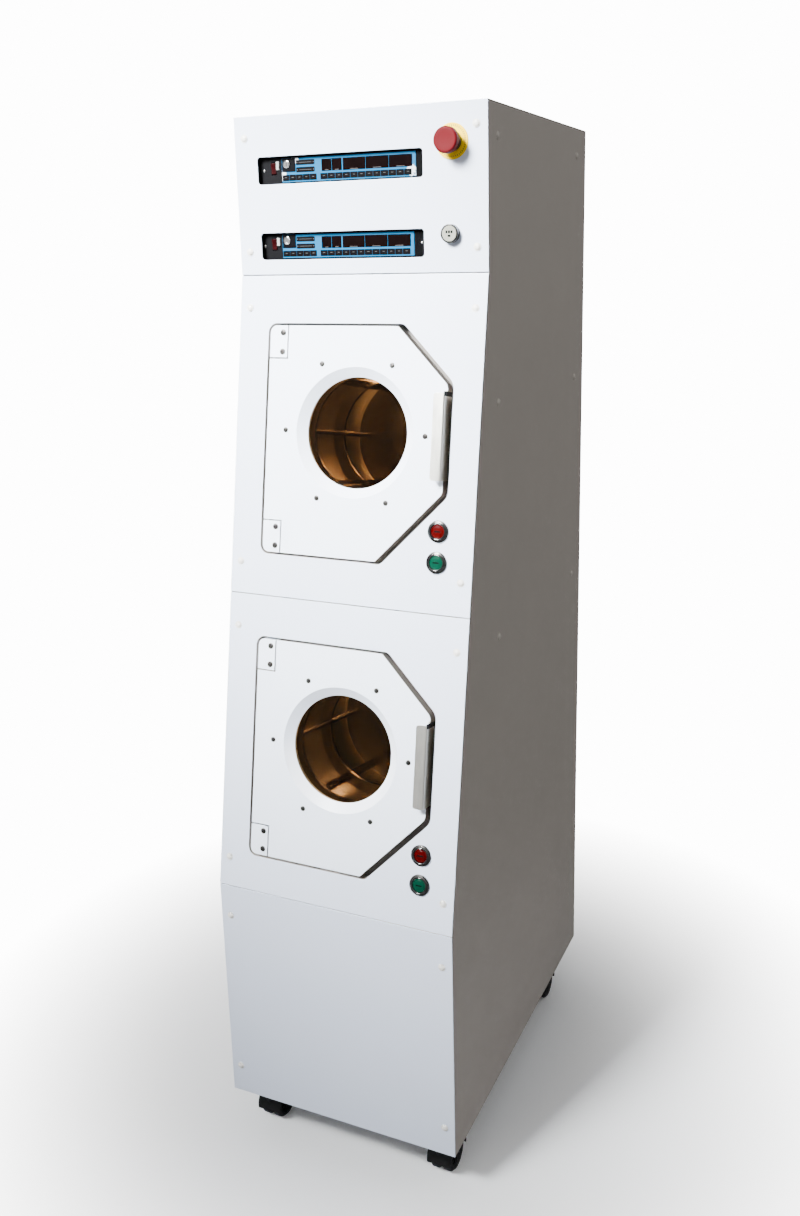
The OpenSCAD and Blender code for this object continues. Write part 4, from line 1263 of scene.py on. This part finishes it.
    @staticmethod
    def display(name):
        """Dark red filter pane, a little uneven."""
        f = Finish(name)
        spread = f.noise(45.0, 2.0)
        base = f.mix(spread, (0.0012, 0.0005, 0.0005), (0.003, 0.001, 0.001))
        smooth = 0.12 + 0.06 * spread
        return f.surface(Base_Color=base, Roughness=smooth, Specular_IOR_Level=0.1)

    @staticmethod
    def overlay(name, blue):
        """Printed film with a few worn, lifted spots."""
        f = Finish(name)
        print_dots = f.noise(900.0, 2.0)
        base = f.mix(print_dots, times(blue, 0.93), times(blue, 1.05))
        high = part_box("controller_overlays")[1]
        lock_low, lock_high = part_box("upper_key_switch")
        spots = [  # centre and radius in metres
            (lock_low.x - 0.004, lock_low.z - 0.012, 0.011),
            (lock_high.x + 0.010, lock_high.z + 0.004, 0.012),
            (high.x - 0.006, high.z - 0.026, 0.012),
        ]
        worn = 0.0
        x, z = f.along("X"), f.along("Z")
        flakes = f.noise(150.0, 5.0, 0.7)
        for cx, cz, r in spots:
            dx, dz = x - cx, z - cz
            near = 1.0 - (dx * dx + dz * dz) / (r * r)
            worn = f.ramp(near * 0.5 + flakes, 0.78, 0.82) + worn
        edge = f.ramp(worn, 0.0, 1.0)
        return f.surface(
            Base_Color=f.mix(edge, base, (0.60, 0.62, 0.64)),
            Roughness=0.3 + 0.35 * edge + 0.04 * print_dots,
            Specular_IOR_Level=0.1,
            Normal=f.bump(worn, 0.0002, 0.4),
        )


class DRYER_OT_casters(Build, bpy.types.Operator):
    """Caster hoods and twin wheels"""

    bl_idname = "dryer.casters"
    bl_label = "Casters"

    def build(self, scene):
        hood = moulded("hood plastic", (0.004, 0.004, 0.004), 0.35, 1400.0, 0.00005, 0.01, gloss=0.25)
        tread = moulded("wheel tread", (0.007, 0.007, 0.007), 0.5, 1000.0, 0.0001, 0.02, gloss=0.25)
        for corner in CORNERS:
            refined(f"{corner}_caster_hood", scene.dryer_running.edge / MM, hood, "hood_plastic", 4)
            refined(f"{corner}_caster_wheels", 0.9, tread, "wheel_tread")
            self.hub(corner, hood)

    @staticmethod
    def hub(corner, finish):
        """Radial ribs in the dished outer face of both wheels."""
        node = f"{corner}_caster_wheels"
        low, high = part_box(node)
        centre, dish = (low + high) / 2, 3.4 * MM
        ribs = ring_bars(finish, 9, 14.5, 9.0, 1.6, 2.4)
        parts = []
        for side, face in ((-1, low.x), (1, high.x)):
            spot = Place((face - side * dish, centre.y, centre.z), (0, 0, 1), (side, 0, 0))
            parts.append((ribs, spot.matrix, 0))
        piece(f"{corner}_wheel_ribs", joined(parts), [finish], body_of(node), "hood_plastic")


class DRYER_OT_stage(Build, bpy.types.Operator):
    """Floor, lights and camera"""

    bl_idname = "dryer.stage"
    bl_label = "Stage"

    def build(self, scene):
        look = scene.dryer_stage
        self.floor(look)
        low, high = CAD_BOX
        middle, upper_door = (low + high) / 2, 1.25
        aim = Vector((middle.x, middle.y, upper_door))
        self.softbox("key", (-0.9, -2.1, 3.0), aim, (1.0, 1.0), look.key, (0.96, 0.98, 1.0), 40.0)
        self.softbox("fill", (3.4, 0.6, 2.4), middle, (2.0, 2.4), look.fill, (1.0, 0.93, 0.85))
        for level, colour in (("lower", (1.0, 0.88, 0.72)), ("upper", (1.0, 0.78, 0.52))):
            place = CHAMBER[level]
            spot, aim = place.at(-30, 112, -34).translation, place.at(20, -60, -190).translation
            self.softbox(f"{level} glow", spot, aim, (0.06, 0.03), look.glow, colour)
        self.camera(scene)
        self.surroundings(scene, look)

    @staticmethod
    def surroundings(scene, look):
        """Soft light, brighter from above and from the front left; plain white to the camera."""
        world = bpy.data.worlds.new("studio")
        world.use_nodes = True
        net = Net(world.node_tree)
        net.tree.nodes.clear()
        seen = net.node("ShaderNodeLightPath", out="Is Camera Ray")
        around = net.node("ShaderNodeTexCoord", out="Generated")
        dot, brightest, backdrop = {"operation": "DOT_PRODUCT"}, (-0.34, -0.44, 0.83), 14.0
        toward = net.node("ShaderNodeVectorMath", dot, {0: around, 1: brightest}, "Value")
        strength = look.sky * (0.5 + 0.5 * toward)
        glow = net.node("ShaderNodeBackground", {}, {"Color": (0.95, 0.97, 1.0, 1), "Strength": strength})
        white = net.node("ShaderNodeBackground", {}, {"Color": (1, 1, 1, 1), "Strength": backdrop})
        both = net.node("ShaderNodeMixShader", {}, {0: seen, 1: glow, 2: white})
        net.node("ShaderNodeOutputWorld", {}, {"Surface": both})
        scene.world = world

    @staticmethod
    def floor(look):
        """Pale floor that fades out around the machine."""
        f = Finish("studio floor")
        cloud = f.noise(1.5, 3.0)
        base = f.mix(cloud, times(look.floor, 0.98), times(look.floor, 1.02))
        x, y = f.along("X"), f.along("Y")
        away = f.node("ShaderNodeMath", {"operation": "SQRT"}, {0: x * x + y * y})
        solid_to, gone_at = 0.2, 1.1
        fade = f.ramp(away, solid_to, gone_at)
        solid = 1.0 - fade * fade * fade
        seen = f.node("ShaderNodeLightPath", out="Is Camera Ray")
        base = f.mix(seen, look.bounce, base)
        finish = f.surface(Base_Color=base, Roughness=0.7 + 0.05 * cloud, Alpha=solid)
        bm = bmesh.new()
        bmesh.ops.create_grid(bm, x_segments=1, y_segments=1, size=9)
        mesh = mesh_of(bm, "floor")
        mesh.materials.append(finish)
        floor = bpy.data.objects.new("floor", mesh)
        bpy.context.scene.collection.objects.link(floor)

    @staticmethod
    def softbox(name, spot, target, size, power, colour, spread=180.0):
        """Area light turned to a target."""
        data = bpy.data.lights.new(name, "AREA")
        data.shape, data.size, data.size_y = "RECTANGLE", *size
        data.energy, data.color = power, colour
        data.spread = math.radians(spread)
        lamp = bpy.data.objects.new(name, data)
        bpy.context.scene.collection.objects.link(lamp)
        lamp.location = spot
        lamp.rotation_mode = "QUATERNION"
        lamp.rotation_quaternion = (target - Vector(spot)).to_track_quat("-Z", "Y")

    @staticmethod
    def camera(scene):
        """Camera at eye level, in front and to the right of the machine."""
        yaw, pitch, roll = (math.radians(a) for a in (-23.75, -14.21, -1.03))
        flat = math.cos(pitch)
        ahead = Vector((math.sin(yaw) * flat, math.cos(yaw) * flat, math.sin(pitch)))
        right = Vector((math.cos(yaw), -math.sin(yaw), 0))
        up = right.cross(ahead)
        x = right * math.cos(roll) + up * math.sin(roll)
        y = up * math.cos(roll) - right * math.sin(roll)
        turn = Matrix((x, y, -ahead)).transposed().to_4x4()
        turn.translation = Vector((0.8075, -1.7523, 1.4937))
        data = bpy.data.cameras.new("camera")
        data.lens, data.sensor_width = 33.4, 36
        data.shift_x, data.shift_y = -0.0275, -0.0513
        camera = bpy.data.objects.new("camera", data)
        scene.collection.objects.link(camera)
        camera.matrix_world = turn
        scene.camera = camera


class DRYER_PT_looks(bpy.types.Panel):
    """Lists the build steps and their sizes and colours"""

    bl_idname = "DRYER_PT_looks"
    bl_label = "Spin rinse dryer"
    bl_space_type = "VIEW_3D"
    bl_region_type = "UI"
    bl_category = "Dryer"

    def draw(self, context):
        for step in STEPS:
            self.layout.operator(step.bl_idname)
        for attribute, group in GROUPS.items():
            box = self.layout.box()
            for name in group.__annotations__:
                box.prop(getattr(context.scene, attribute), name)


GROUPS = {
    "dryer_cabinet": CabinetLook,
    "dryer_doors": DoorLook,
    "dryer_controls": ControlLook,
    "dryer_running": RunningLook,
    "dryer_stage": StageLook,
}
STEPS = (
    DRYER_OT_stage,
    DRYER_OT_panels,
    DRYER_OT_caps,
    DRYER_OT_rear,
    DRYER_OT_frame_parts,
    DRYER_OT_chambers,
    DRYER_OT_doors,
    DRYER_OT_door_screws,
    DRYER_OT_handles,
    DRYER_OT_buttons,
    DRYER_OT_estop,
    DRYER_OT_controllers,
    DRYER_OT_casters,
)


CLASSES = (*GROUPS.values(), *STEPS, DRYER_PT_looks)


def register():
    for item in CLASSES:
        bpy.utils.register_class(item)
    for attribute, group in GROUPS.items():
        setattr(bpy.types.Scene, attribute, PointerProperty(type=group))


def unregister():
    for attribute in GROUPS:
        delattr(bpy.types.Scene, attribute)
    for item in reversed(CLASSES):
        bpy.utils.unregister_class(item)


def main():
    register()
    for step in STEPS:
        group, name = step.bl_idname.split(".")
        getattr(getattr(bpy.ops, group), name)()


if __name__ == "__main__":
    main()
